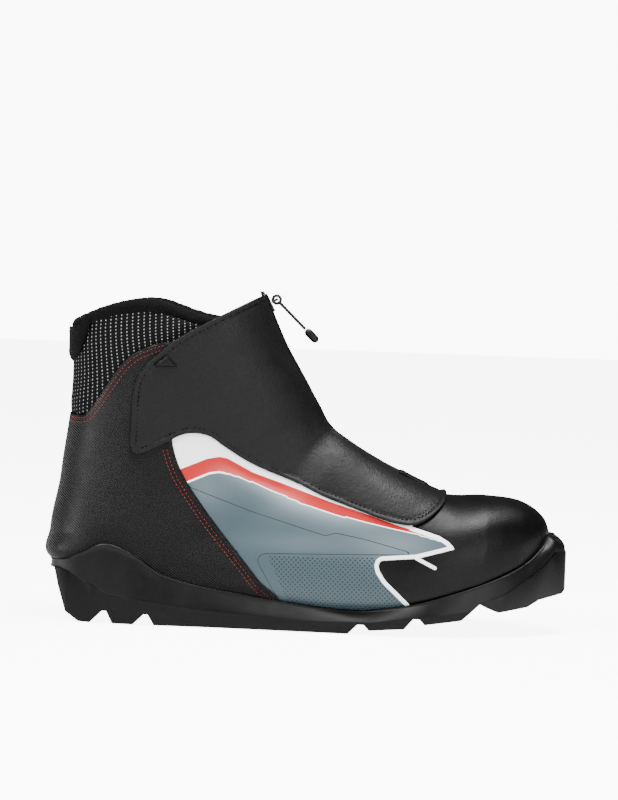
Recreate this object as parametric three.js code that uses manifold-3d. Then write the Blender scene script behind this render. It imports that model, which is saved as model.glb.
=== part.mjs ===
// A cross country touring boot for the right foot, built up the way it is sewn and moulded.
// +X points to the toe, -Y to the outer side of the foot and +Z up. The tread stands on z = 0,
// the boot is centred on x = 0 and y = 0, and every size is in millimetres.
import * as THREE from "three";
import { mergeVertices } from "three/addons/utils/BufferGeometryUtils.js";
import Module from "manifold-3d";

const wasm = await Module();
wasm.setup();

// Overall sizes. The outlines below are drawn at the DRAWN sizes and stretch with these three.
const BOOT_LENGTH = 300;
const BOOT_HEIGHT = 192.5;
const BALL_WIDTH = 102;
const DRAWN = { length: 300, height: 192.5, width: 102 };

// Clearances between pieces that touch.
const LAYER_GAP = 0.5;
const SEAM_GAP = 0.5;
const FIT_GAP = 0.3;

// Thickness of each layer of the upper.
const COVER = 1.6;
const SKIN = 2;
const STIFFENER = 1.5;
const LINING = 4;
const PADDING = 4;
const TONGUE = 4;
const BOARD = 4;
const FOOTBED = 4.5;

// Throat, eyestays and lace.
const SKIN_THROAT = 40;
const LINING_THROAT = 58;
const EYESTAY_INNER = 17;
const EYESTAY_OUTER = 27;
const EYESTAY_DROP = 1.5;
const LACE_RADIUS = 0.9;
const LOOP_ROWS = [4.6, 5.15, 5.7, 6.25];
const LOOP_LENGTH = 3;
const TAIL_ROWS = 0.5;
const LACE_STEPS = 80;
const LOOP_WALL = 1.1;
const LOOP_WEBBING = 0.4;
const TONGUE_WIDTH = 48;
const TONGUE_TOP = 184;
const TONGUE_ROWS = [4, 12];
const SKIN_THROAT_ROW = 4;
const LINING_THROAT_ROW = 4.1;
const EYESTAY_ROWS = [4.3, 8.6];
const THROAT_STEPS = 32;
const LONG_STEPS = 40;

// Zip, slider and pull.
const TOOTH_WIDTH = 1.6;
const TOOTH_HEIGHT = 2;
const TEETH_APART = 1.2;
const TAPE_WIDTH = 5.5;
const TAPE = 0.8;
const ZIP_OPENING = 10.4;
const SLIDER_WIDTH = 9.2;
const SLIDER_LENGTH = 11;
const SLIDER_PLATE = 1.2;
const SLIDER_SLACK = 1.2;
const WEB = 0.6;
const BRIDGE_BAR = 1.6;
const BRIDGE_WIDTH = 5.2;
const CORD_RADIUS = 0.9;
const CORD_LENGTH = 24;
const GRIP_LENGTH = 10;
const GRIP_WIDTH = 5;
const PULL_LEAN = THREE.MathUtils.degToRad(44);
const ZIP_END_ROW = 4.6;
const TAPE_TOP_ROW = 11.85;
const TEETH_TOP_ROW = 11.6;
const TOP_STOP_ROWS = [11.68, 11.84];
const END_STOP_ROWS = [0.03, 0.22];
const TEETH_START = 0.25;
const SLIDER_PARK = 0.65;
const SLIDER_NOSE = 0.6;
const SLIDER_SHOULDER = 0.4;
const WEB_LENGTH = 0.6;
const BRIDGE_LEG = 1;
const SLIDE_LOW_ROW = 8.2;

// Sole.
const GROOVE_WIDTH = 26;
const GROOVE_DEPTH = 5;
const SHANK = { width: 20, thickness: 1.6, from: -88, to: 18 };
const BAR_RADIUS = 2;
const BAR_LENGTH = 32;
const RECESS_WIDTH = 26;

// Sections of the foot form, from the toe to above the collar. They fan round the instep.
// front and back are a section's ends in the side view, half is its half width, shift moves it
// to the inner side, belly is how far up from the back it is widest, and low and high are how
// square its back and front halves are (2 is an ellipse).
const SECTIONS = [
  { front: [141, 57.5], back: [140.5, 51], half: 8, shift: 6, belly: 0.5, low: 2.2, high: 2.2 },
  { front: [137, 66.5], back: [135.5, 43.5], half: 21, shift: 6, belly: 0.45, low: 3, high: 2.4 },
  { front: [124.5, 75.2], back: [121, 31.5], half: 35, shift: 4.5, belly: 0.38, low: 4, high: 2.3 },
  { front: [103, 78.3], back: [98, 22.2], half: 45.5, shift: 2, belly: 0.33, low: 4.6, high: 2.3 },
  { front: [78, 78.6], back: [66, 14], half: 48.3, shift: 0, belly: 0.3, low: 5, high: 2.2 },
  { front: [47, 91.7], back: [22, 9.8], half: 45, shift: -1.5, belly: 0.3, low: 4.6, high: 2.1 },
  { front: [21, 106.5], back: [-34, 13], half: 39, shift: -1.5, belly: 0.32, low: 4, high: 2.1 },
  { front: [9.5, 115.7], back: [-100, 21.5], half: 36.5, shift: 0, belly: 0.36, low: 3.4, high: 2.1 },
  { front: [3.2, 126], back: [-147.6, 40], half: 36.5, shift: 0, belly: 0.42, low: 2.8, high: 2.2 },
  { front: [-6.5, 142], back: [-145, 84], half: 37.5, shift: 0, belly: 0.48, low: 2.5, high: 2.3 },
  { front: [-19, 163.5], back: [-139.6, 130], half: 39.5, shift: 0, belly: 0.5, low: 2.4, high: 2.4 },
  { front: [-27, 181], back: [-139.2, 160], half: 41.5, shift: 0, belly: 0.5, low: 2.4, high: 2.4 },
  { front: [-32.5, 195], back: [-139.5, 186], half: 42.5, shift: 0, belly: 0.5, low: 2.4, high: 2.4 },
  { front: [-37, 208], back: [-140, 206], half: 43, shift: 0, belly: 0.5, low: 2.4, high: 2.4 },
];
const LAST_ROW = SECTIONS.length - 1;
const TURN_STEPS = 18;
const ROWS = [0, 0.5, 1, 1.25, 1.5, 2, 3, 4, 5, 6, 7, 7.5, 8, 8.5, 9, 10, 11, 12, 12.5, 13];
const STIFFENER_ROW = 1;
const LINING_ROW = 1.5;
const FOOTBED_ROW = 3;
const BOTTOM_ROWS = 7;
const FAR = 400;

// Seams and edges of the upper in the side view, as [x, z].
const TOE_SEAM = drawn([58.7, -60], [58.7, 18], [44.7, 31], [40.3, 39.3], [42.3, 42.5], [62, 44.3],
  [83.7, 50.2], [58.9, 61.9], [57, 75], [62, 240]);
const HEEL_SEAM = smooth(drawn([-12, -60], [-12, 8], [-28.7, 30], [-60.2, 68], [-77, 95.6],
  [-80, 125], [-80, 240]), 14);
const COLLAR_BORDER = smooth(drawn([-220, 119.5], [-143, 118.9], [-131, 120], [-116, 140.2],
  [-100.5, 156.8], [-80.7, 162.6], [-40, 159], [60, 150]), 18);
const COLLAR_EDGE = smooth(drawn([-220, 158], [-141, 164.5], [-109.3, 178.6], [-89.2, 178.3],
  [-65.8, 171.6], [-40, 170], [60, 175]), 14);
const BINDING_TOP = smooth(drawn([-220, 150], [-141, 170], [-127, 176.8], [-100, 185.4],
  [-82, 183], [-60, 178], [-20, 176], [60, 180]), 18);
const PADDING_LOW = drawn([-220, 122], [60, 122]);
const COUNTER_TOP = smooth(drawn([-220, 84], [-135, 82], [-100, 62], [-72, 30], [-66, -60]), 12);
const PUFF_BACK = drawn([108, -60], [112, 240]);
const COVER_EDGE = [
  ...smooth(drawn([0, 208.4], [-30.3, 191.9], [-58.9, 176.3], [-80, 163.7], [-96.2, 148.9],
    [-102.6, 130.5], [-103.4, 103.4]), 14),
  ...smooth(drawn([-97.4, 98.1], [-82.6, 105.2], [-66.7, 110.7], [-50.4, 103.2], [-25.8, 90],
    [6.7, 76.7], [39.4, 65.3], [59.3, 62], [74.6, 70.7], [79, 82]), 20),
];
const HEEL_CAP = drawn([-220, 149], [-140, 149.6], [-133.6, 155.6], [-128.3, 172.9],
  [-128, 240], [-220, 240]);
const TRIANGLE = drawn([-84.3, 154.8], [-92.2, 148.5], [-77.6, 148.5]);
const ZIP_PATCH = drawn([50, 60], [68, 60], [70, 120], [52, 120]);

// Lines of the sole in the side view.
const RAND_TOP = smooth(drawn([-220, 30], [-148, 34], [-133, 39], [-117.7, 45.9], [-100, 39.8],
  [-80, 28], [-43, 20.4], [17, 13], [45, 14.7], [79, 23], [120.6, 38], [139, 51], [143.5, 59]), 26);
const BUMPER = drawn([146.7, 56], [149, 48], [160, 48]);
const PARTING = drawn([-220, 31.5], [-144.3, 29.9], [-134.3, 27.2], [-123.9, 21.6], [-113.6, 16.9],
  [-63, 10.2], [-3, 6.6], [36, 7.2], [63, 10.9], [94, 15.1], [98.9, 19.5], [112.9, 24.5],
  [134.1, 38.3], [144, 48.2], [220, 46]);
const TREAD_END = new THREE.Vector2(...stretch(94, 14.6));
const TREAD = drawn([-220, 30], [-146.6, 29], [-144, 19], [-139, 5], [-131, 0], [-124, 0], [-117, 7],
  [-114.5, 7], [-111, 0], [-99, 0], [-93, 6], [-90.5, 6], [-87, 0], [24, 0], [29.5, 5.5], [33, 5.5],
  [36, 2.3], [56, 4], [61, 10], [64.5, 10], [67.5, 6.8], [88.5, 9.8]);
const BLOCK_UNDER = drawn([98.9, 19.2], [102.5, 17.3], [109.6, 14.3], [127, 17], [134, 20.8],
  [147.8, 23.6], [150, 26], [220, 26]);
const RECESS = drawn([130, -60], [144, -60], [144, 34], [130, 34]);
const BAR_PLACE = stretch(140.5, 25.8);

// The sole from above, as [x, y], with the inner side at +y.
const PLAN = planned([-150, 0], [-146, 17], [-120, 36.5], [-60, 38.5], [-20, 39], [40, 46.5],
  [85, 51], [112, 46.3], [132, 34], [146, 19], [150, 12], [150, -10], [146, -14.5], [130, -29],
  [110, -42], [80, -50.5], [50, -50.3], [0, -45.5], [-50, -40.5], [-120, -36.5], [-146, -17]);

// The zip's opening flaps fold about a line on each side, through these two places.
const FOLD_LOW = { row: 7.75, reach: 5 };
const FOLD_HIGH = drawn([-72, 165])[0];
const CAP_RISE = 1;
const FOLD_OUTWARD = [0.35, 1, 0.55];
const ZIP_PATCH_WIDTH = 18;
const GROUND = drawn([-220, -1], [220, -1]);
const FOLD_GAP = 2.6;

// How deep each layer lies below the outer face of the skin, as [outer, inner].
const UNDER_COVER = LAYER_GAP;
const LAYER = {
  cover: [UNDER_COVER + COVER, UNDER_COVER],
  skin: [0, -SKIN],
  stiffener: below(-SKIN, STIFFENER),
  padding: below(-SKIN, PADDING),
};
LAYER.eyestay = below(LAYER.skin[1] - EYESTAY_DROP + LAYER_GAP, STIFFENER);
LAYER.lining = below(LAYER.stiffener[1], LINING);
LAYER.tongue = below(LAYER.lining[1], TONGUE);
LAYER.tape = below(UNDER_COVER + FIT_GAP - LAYER_GAP, TAPE);
LAYER.teeth = [LAYER.tape[1] + TOOTH_HEIGHT, LAYER.tape[1]];
LAYER.patch = [LAYER.cover[0] + LAYER_GAP + 1, LAYER.cover[0] + LAYER_GAP];

// The next layer down, a gap below the one above it.
function below(above, thickness) {
  return [above - LAYER_GAP, above - LAYER_GAP - thickness];
}

// A point drawn in the side view, at the boot's real size.
function stretch(x, z) {
  return [x * BOOT_LENGTH / DRAWN.length, z * BOOT_HEIGHT / DRAWN.height];
}

function drawn(...points) {
  return points.map(([x, z]) => new THREE.Vector2(...stretch(x, z)));
}

function planned(...points) {
  const [long, wide] = [BOOT_LENGTH / DRAWN.length, BALL_WIDTH / DRAWN.width];
  return points.map(([x, y]) => new THREE.Vector2(x * long, y * wide));
}

// A smooth curve through the points, as a line of short pieces.
function smooth(points, pieces) {
  return new THREE.SplineCurve(points).getPoints(pieces);
}

// A line moved sideways, to its left as it is walked.
function moved(line, distance) {
  return line.map((point, i) => {
    const before = line[Math.max(i - 1, 0)];
    const after = line[Math.min(i + 1, line.length - 1)];
    const along = after.clone().sub(before).normalize();
    return new THREE.Vector2(point.x - along.y * distance, point.y + along.x * distance);
  });
}

// The curves that carry the sections.
function along(pick) {
  return new THREE.CatmullRomCurve3(SECTIONS.map((section) => new THREE.Vector3(...pick(section))));
}
const frontLine = along(({ front: [x, z] }) => [stretch(x, z)[0], 0, stretch(x, z)[1]]);
const backLine = along(({ back: [x, z] }) => [stretch(x, z)[0], 0, stretch(x, z)[1]]);
const widths = along(({ half, shift, belly }) => [half, shift, belly]);
const squareness = along(({ low, high }) => [low, high, 0]);

// A point on the foot form: row along the boot, turn round the section from the back over the
// outer side, and height above the skin's outer face.
function formPoint(row, turn, height) {
  const place = row / LAST_ROW;
  const front = frontLine.getPoint(place);
  const back = backLine.getPoint(place);
  const { x: half, y: shift, z: belly } = widths.getPoint(place);
  const { x: low, y: high } = squareness.getPoint(place);
  const up = front.clone().sub(back);
  const span = up.length() + 2 * height;
  up.normalize();
  const rise = -Math.cos(turn);
  const reach = Math.sin(turn);
  const square = rise < 0 ? low : high;
  const side = rise < 0 ? belly : 1 - belly;
  const climb = span * (belly + side * Math.sign(rise) * Math.abs(rise) ** (2 / square));
  const widthScale = BALL_WIDTH / DRAWN.width;
  const out = (half * widthScale + height) * Math.sign(reach) * Math.abs(reach) ** (2 / square);
  return back.addScaledVector(up, climb - height).setY(shift * widthScale - out);
}

const FRONT = Math.PI;

// A place on the front line of the boot, sideways by y.
function frontPoint(row, height, y = 0) {
  return formPoint(row, FRONT, height).setY(y);
}

// A closed solid from a three.js geometry.
function solid(geometry) {
  geometry.deleteAttribute("normal");
  geometry.deleteAttribute("uv");
  const merged = mergeVertices(geometry, 1e-4);
  const vertProperties = merged.attributes.position.array;
  const triVerts = new Uint32Array(merged.index.array);
  return new wasm.Manifold(new wasm.Mesh({ numProp: 3, vertProperties, triVerts }));
}

// The whole foot form out to a height, between two rows: a cylinder bent onto the sections.
function form(height, rowFrom, rowTo) {
  const rows = ROWS.filter((row) => row >= rowFrom && row <= rowTo);
  const steps = rows.length - 1;
  const geometry = new THREE.CylinderGeometry(1, 1, 1, TURN_STEPS, steps);
  const position = geometry.attributes.position;
  const point = new THREE.Vector3();
  for (let i = 0; i < position.count; i++) {
    point.fromBufferAttribute(position, i);
    const row = rows[Math.round(steps * (point.y + 0.5))];
    const turn = Math.atan2(point.x, point.z);
    const outside = formPoint(row, turn, height);
    if (Math.hypot(point.x, point.z) < 0.5) {
      outside.copy(formPoint(row, 0, height)).lerp(formPoint(row, FRONT, height), 0.5);
    }
    position.setXYZ(i, ...outside);
  }
  return solid(geometry);
}

// The skin of the form between two heights. The toe is closed and the collar open.
function shell([outer, inner], rowFrom = 0) {
  const innerFrom = ROWS[ROWS.indexOf(rowFrom) + 1];
  return form(outer, rowFrom, ROWS.at(-2)).subtract(form(inner, innerFrom, LAST_ROW));
}

// A side-view outline drawn across the boot, between two places in y.
function across(outline, yFrom = -FAR, yTo = FAR) {
  const geometry = new THREE.ExtrudeGeometry(new THREE.Shape(outline), {
    depth: yTo - yFrom,
    bevelEnabled: false,
  });
  return solid(geometry.rotateX(Math.PI / 2).translate(0, yTo, 0));
}

// The side view above, below, ahead of and behind a line that runs right across it.
const corner = (x, z) => new THREE.Vector2(x, z);
const above = (line) => across([...line, corner(FAR, FAR), corner(-FAR, FAR)]);
const under = (line) => across([...line, corner(FAR, -FAR), corner(-FAR, -FAR)]);
const ahead = (line) => across([...line, corner(FAR, FAR), corner(FAR, -FAR)]);
const behind = (line) => across([...line, corner(-FAR, FAR), corner(-FAR, -FAR)]);

// A block of the whole boot between two places in y, mirrored for the inner side.
function slice(side, from, to) {
  const geometry = new THREE.BoxGeometry(2 * FAR, to - from, 2 * FAR);
  return solid(geometry.translate(0, side * (from + to) / 2, 0));
}

// Everything less than a height above the foot form's underside, ahead of the heel's curve.
function underfoot(height) {
  const line = [];
  for (const row of ROWS.filter((each) => each <= BOTTOM_ROWS)) {
    const { x, z } = formPoint(row, 0, -height);
    line.push(new THREE.Vector2(x, z));
  }
  const heel = line.at(-1);
  const below = [corner(-FAR, heel.y), corner(-FAR, -FAR), corner(FAR, -FAR)];
  return across([corner(FAR, line[0].y), ...line, ...below]);
}

// A band that follows the front line from one row to another, between two places in y.
function frontBand(rowFrom, rowTo, yFrom, yTo, deep = 26, proud = 12) {
  const inside = [];
  const outside = [];
  const steps = Math.ceil(rowTo - rowFrom);
  for (let i = 0; i <= steps; i++) {
    const row = rowFrom + (rowTo - rowFrom) * i / steps;
    const inner = frontPoint(row, -deep);
    const outer = frontPoint(row, proud);
    inside.push(corner(inner.x, inner.z));
    outside.unshift(corner(outer.x, outer.z));
  }
  return across([...inside, ...outside], yFrom, yTo);
}

// A part's surface.
function paint(color, roughness, metalness = 0) {
  return new THREE.MeshStandardMaterial({ color, roughness, metalness });
}
const MATERIALS = {
  leather: paint(0x1b1b1c, 0.5),
  fabric: paint(0x202124, 0.85),
  knit: paint(0x26272a, 0.9),
  print: paint(0x8d9ea6, 0.45),
  fleece: paint(0x121213, 1),
  lining: paint(0x4a5260, 0.95),
  foam: paint(0x55585c, 1),
  rubber: paint(0x2a2a2b, 0.6),
  tread: paint(0x202021, 0.75),
  nylon: paint(0x232324, 0.4),
  board: paint(0x8c7a5e, 0.9),
  steel: paint(0xa7a9ac, 0.3, 1),
  cord: paint(0x0e0e0f, 0.8),
  plastic: paint(0x18181a, 0.35),
};

const boot = new THREE.Group();

// A mesh from a solid, named and added to a group.
function addPart(name, made, material, group = boot) {
  const mesh = made.getMesh();
  const geometry = new THREE.BufferGeometry();
  geometry.setAttribute("position", new THREE.BufferAttribute(mesh.vertProperties, 3));
  geometry.setIndex(new THREE.BufferAttribute(mesh.triVerts, 1));
  geometry.computeVertexNormals();
  const part = new THREE.Mesh(geometry, MATERIALS[material]);
  part.name = name;
  group.add(part);
}

// The two sides of the boot, and the sign of y on each.
const SIDES = { lateral: -1, medial: 1 };

// ---- Sole ----

function soleBetween(top, bottom) {
  const shape = new THREE.Shape(new THREE.SplineCurve([...PLAN, PLAN[0]]).getPoints(44));
  const geometry = new THREE.ExtrudeGeometry(shape, { depth: FAR, bevelEnabled: false });
  const column = solid(geometry.translate(0, 0, -FAR / 2));
  return column.intersect(under(top)).intersect(above(bottom));
}

function addSole() {
  const footprint = form(FIT_GAP, 0, LAST_ROW);
  const randTop = [...RAND_TOP, ...BUMPER];
  addPart("sole_rand", soleBetween(randTop, PARTING).subtract(footprint), "rubber");

  const parting = moved(PARTING, -FIT_GAP);
  const treadFront = [...TREAD, TREAD_END, corner(TREAD_END.x, FAR), corner(-FAR, FAR)];
  const groove = new THREE.BoxGeometry(FAR, GROOVE_WIDTH, 2 * GROOVE_DEPTH);
  const outsole = soleBetween(parting, GROUND)
    .intersect(across(treadFront))
    .subtract(solid(groove));
  addPart("outsole", outsole, "tread");

  const [barX, barZ] = BAR_PLACE;
  const cylinder = (radius, length) => {
    return solid(new THREE.CylinderGeometry(radius, radius, length, 16).translate(barX, 0, barZ));
  };
  const block = soleBetween(parting, GROUND)
    .intersect(across([...BLOCK_UNDER, corner(FAR, FAR), corner(BLOCK_UNDER[0].x, FAR)]))
    .subtract(across(RECESS, -RECESS_WIDTH / 2, RECESS_WIDTH / 2))
    .subtract(cylinder(BAR_RADIUS + FIT_GAP, BAR_LENGTH + 2 * FIT_GAP));
  addPart("toe_block", block, "nylon");
  addPart("binding_bar", cylinder(BAR_RADIUS, BAR_LENGTH), "steel");
}

// ---- Under the foot ----

// Everything between two places along the boot.
function span(from, to) {
  return across(drawn([from, -FAR], [to, -FAR], [to, FAR], [from, FAR]));
}

function addFootSupport() {
  const pocket = form(-FIT_GAP, 0, LAST_ROW)
    .subtract(form(-FIT_GAP - SHANK.thickness, 1, LAST_ROW))
    .intersect(span(SHANK.from, SHANK.to))
    .intersect(underfoot(BOARD));
  const half = SHANK.width / 2;
  const shank = pocket.intersect(slice(1, -half, half));
  const room = form(LAYER_GAP, 0, LAST_ROW)
    .subtract(form(-2 * FIT_GAP - SHANK.thickness, 1, LAST_ROW))
    .intersect(span(SHANK.from - FIT_GAP, SHANK.to + FIT_GAP))
    .intersect(underfoot(BOARD))
    .intersect(slice(1, -half - FIT_GAP, half + FIT_GAP));
  addPart("insole_board", form(0, 0, LAST_ROW).intersect(underfoot(BOARD)).subtract(room), "board");
  addPart("shank", shank, "steel");

  const inside = -LAYER.lining[1] + LAYER_GAP;
  const footbed = form(-inside, FOOTBED_ROW, BOTTOM_ROWS + 1).intersect(underfoot(inside + FOOTBED));
  addPart("footbed", footbed, "foam");
}

// ---- Outer panels ----

const skinThroat = frontBand(SKIN_THROAT_ROW, LAST_ROW, -SKIN_THROAT / 2, SKIN_THROAT / 2);

function addSkin() {
  const skin = shell(LAYER.skin).subtract(underfoot(BOARD + LAYER_GAP)).subtract(skinThroat);
  const vampSide = ahead(TOE_SEAM);
  const heelSide = behind(HEEL_SEAM);
  addPart("vamp", skin.intersect(vampSide), "leather");

  const middle = skin
    .intersect(behind(moved(TOE_SEAM, SEAM_GAP)))
    .intersect(ahead(moved(HEEL_SEAM, -SEAM_GAP)))
    .intersect(under(moved(COLLAR_BORDER, -SEAM_GAP)));
  for (const [name, side] of Object.entries(SIDES)) {
    addPart(`side_panel_${name}`, middle.intersect(slice(side, SEAM_GAP, FAR)), "print");
  }

  const heel = skin.intersect(heelSide).intersect(under(moved(COLLAR_BORDER, -SEAM_GAP)));
  addPart("heel_quarter", heel, "fabric");
  addPart("collar_panel", skin.intersect(above(COLLAR_BORDER)).intersect(under(COLLAR_EDGE)), "knit");

  const cap = shell(LAYER.cover).intersect(across(HEEL_CAP)).intersect(under(moved(BINDING_TOP, CAP_RISE)));
  addPart("heel_cap", cap, "fleece");
}

// ---- Stiffeners, padding and lining ----

const liningHalf = LINING_THROAT / 2;
const liningThroat = frontBand(LINING_THROAT_ROW, LAST_ROW, -liningHalf, liningHalf, THROAT_STEPS);

function addInside() {
  const stiff = shell(LAYER.stiffener, STIFFENER_ROW).subtract(underfoot(BOARD + LAYER_GAP));
  addPart("heel_counter", stiff.intersect(under(COUNTER_TOP)), "board");
  addPart("toe_puff", stiff.intersect(ahead(PUFF_BACK)), "board");

  const [paddingOut, paddingIn] = LAYER.padding;
  const padded = above(PADDING_LOW).intersect(under(COLLAR_EDGE)).subtract(liningThroat);
  addPart("collar_padding", shell(LAYER.padding).intersect(padded), "foam");

  const room = shell([paddingOut + LAYER_GAP, paddingIn - LAYER_GAP])
    .intersect(above(moved(PADDING_LOW, -LAYER_GAP)));
  const lining = shell(LAYER.lining, LINING_ROW)
    .intersect(under(COLLAR_EDGE))
    .subtract(liningThroat)
    .subtract(room);
  addPart("lining", lining, "lining");

  const roll = shell([0, LAYER.lining[1] - LAYER_GAP])
    .intersect(above(moved(COLLAR_EDGE, SEAM_GAP)))
    .intersect(under(BINDING_TOP))
    .subtract(skinThroat);
  addPart("collar_binding", roll, "fleece");

  const tongue = shell(LAYER.tongue, LINING_ROW)
    .intersect(frontBand(...TONGUE_ROWS, -TONGUE_WIDTH / 2, TONGUE_WIDTH / 2, LONG_STEPS))
    .intersect(under(drawn([-FAR, TONGUE_TOP], [FAR, TONGUE_TOP])));
  addPart("tongue", tongue, "lining");
}

// ---- Eyestays, loops and lace ----

// A block placed on the front line, turned to lie along it.
function onFront(geometry, row, height, y) {
  const here = frontPoint(row, height, y);
  const next = frontPoint(row + 0.1, height, y);
  const lean = Math.atan2(next.z - here.z, next.x - here.x);
  return geometry.rotateY(-lean).translate(here.x, here.y, here.z);
}

function addLacing() {
  const [eyestayOut, eyestayIn] = LAYER.eyestay;
  for (const [name, side] of Object.entries(SIDES)) {
    const eyestay = shell(LAYER.eyestay)
      .intersect(frontBand(...EYESTAY_ROWS, -EYESTAY_OUTER, EYESTAY_OUTER))
      .intersect(slice(side, EYESTAY_INNER, EYESTAY_OUTER));
    addPart(`eyestay_${name}`, eyestay, "fabric");
  }

  const centre = (eyestayOut + eyestayIn) / 2;
  const hole = 2 * (LACE_RADIUS + FIT_GAP + LOOP_WEBBING + FIT_GAP);
  const width = hole + 2 * LOOP_WALL;
  const laceAt = EYESTAY_INNER - FIT_GAP - LOOP_WALL - LACE_RADIUS - FIT_GAP;
  const underCover = form(LAYER.cover[1] - LAYER_GAP, 0, LAST_ROW);
  const laceRoom = tube(lacePath(centre, laceAt), LACE_RADIUS + FIT_GAP, LACE_STEPS, 6);
  for (const [name, side] of Object.entries(SIDES)) {
    LOOP_ROWS.forEach((row, i) => {
      const outerY = EYESTAY_INNER - FIT_GAP;
      const middle = side * (outerY - width / 2);
      const block = new THREE.BoxGeometry(LOOP_LENGTH, width, hole);
      const gap = new THREE.BoxGeometry(2 * LOOP_LENGTH, width - 2 * LOOP_WALL, hole - 2 * LOOP_WEBBING);
      const sag = formSag(row, side * laceAt);
      const loop = solid(onFront(block, row, centre - sag, middle))
        .subtract(solid(onFront(gap, row, centre - sag, middle)))
        .subtract(laceRoom)
        .intersect(underCover);
      addPart(`lace_loop_${name}_${i + 1}`, loop, "cord");
    });
  }

  addPart("lace", tube(lacePath(centre, laceAt), LACE_RADIUS, LACE_STEPS, 6), "cord");
}

// How far the form falls away below the front line, out at y.
function formSag(row, y) {
  let turn = FRONT;
  while (Math.abs(formPoint(row, turn, 0).y) < Math.abs(y)) {
    turn -= Math.sign(-y) * 0.01;
  }
  return formPoint(row, turn, 0).distanceTo(frontPoint(row, 0, formPoint(row, turn, 0).y));
}

// One lace, crossing between the loops: down one way, round the lowest pair and up the other way.
function lacePath(centre, laceAt) {
  const points = [];
  const count = LOOP_ROWS.length;
  const loopAt = (i, side) => {
    const row = LOOP_ROWS[i];
    return frontPoint(row, centre - formSag(row, side * laceAt), side * laceAt);
  };
  const crossing = (i, lift) => {
    return frontPoint((LOOP_ROWS[i] + LOOP_ROWS[i + 1]) / 2, centre + lift);
  };
  const tail = (side) => {
    const row = LOOP_ROWS[count - 1] + TAIL_ROWS;
    return frontPoint(row, centre - formSag(row, side * laceAt), side * laceAt);
  };
  points.push(tail(-1));
  for (let i = count - 1; i >= 0; i--) {
    points.push(loopAt(i, i % 2 ? -1 : 1));
    if (i > 0) points.push(crossing(i - 1, LACE_RADIUS + FIT_GAP));
  }
  points.push(frontPoint(LOOP_ROWS[0] - 0.22, centre));
  for (let i = 0; i < count; i++) {
    points.push(loopAt(i, i % 2 ? 1 : -1));
    if (i < count - 1) points.push(crossing(i, -LACE_RADIUS - FIT_GAP));
  }
  points.push(tail(1));
  return new THREE.CatmullRomCurve3(points);
}

// A cord of round section along a curve.
function tube(path, radius, steps, sides = 8) {
  const section = new THREE.Shape();
  for (let i = 0; i < sides; i++) {
    const angle = 2 * Math.PI * i / sides;
    const step = i ? "lineTo" : "moveTo";
    section[step](radius * Math.cos(angle), radius * Math.sin(angle));
  }
  return solid(new THREE.ExtrudeGeometry(section, { steps, extrudePath: path, bevelEnabled: false }));
}

// ---- Zip cover ----

// The plane that each flap folds about: one solid of everything on the flap's side of it.
function flapSide(side, gap) {
  const low = frontPoint(FOLD_LOW.row, LAYER.cover[0], side * FOLD_LOW.reach);
  const high = new THREE.Vector3(FOLD_HIGH.x, 0, FOLD_HIGH.y);
  high.y = side * widthAt(high);
  const axis = high.clone().sub(low).normalize();
  const outward = new THREE.Vector3(...FOLD_OUTWARD);
  outward.y *= side;
  const across = new THREE.Vector3().crossVectors(axis, outward).multiplyScalar(-side).normalize();
  const basis = new THREE.Matrix4().makeBasis(axis, new THREE.Vector3().crossVectors(across, axis), across);
  const block = new THREE.BoxGeometry(2 * FAR, 2 * FAR, FAR).translate(0, 0, FAR / 2 + gap);
  return solid(block.applyMatrix4(basis.setPosition(low)));
}

// Half the width of the cover at a place in the side view.
function widthAt(place) {
  let best = 0;
  let nearest = FAR;
  for (let row = 7; row < LAST_ROW; row += 0.1) {
    for (let turn = 0.5; turn < FRONT; turn += 0.05) {
      const point = formPoint(row, turn, LAYER.cover[0]);
      const distance = Math.hypot(point.x - place.x, point.z - place.z);
      if (distance < nearest) {
        nearest = distance;
        best = Math.abs(point.y);
      }
    }
  }
  return best;
}

const zipSlot = (width) => frontBand(ZIP_END_ROW, LAST_ROW, -width / 2, width / 2, LONG_STEPS);

function addCover() {
  const outline = [...COVER_EDGE, ...drawn([79.5, 95], [79.5, 230], [0, 230])];
  const cover = shell(LAYER.cover).intersect(across(outline)).subtract(zipSlot(ZIP_OPENING));
  for (const [name, side] of Object.entries(SIDES)) {
    const half = cover.intersect(slice(side, FIT_GAP, FAR));
    addPart(`cover_side_${name}`, half.subtract(flapSide(side, -FOLD_GAP / 2)), "leather");
    addPart(`cover_flap_${name}`, half.intersect(flapSide(side, FOLD_GAP / 2)), "leather");
    const triangle = shell(LAYER.patch).intersect(across(TRIANGLE)).intersect(slice(side, 0, FAR));
    addPart(`cover_tack_${name}`, triangle, "leather");
  }
  const patchHalf = ZIP_PATCH_WIDTH / 2;
  const patch = shell(LAYER.patch).intersect(across(ZIP_PATCH)).intersect(slice(1, -patchHalf, patchHalf));
  addPart("zip_end_patch", patch, "leather");
}

// ---- Zip ----

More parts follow.
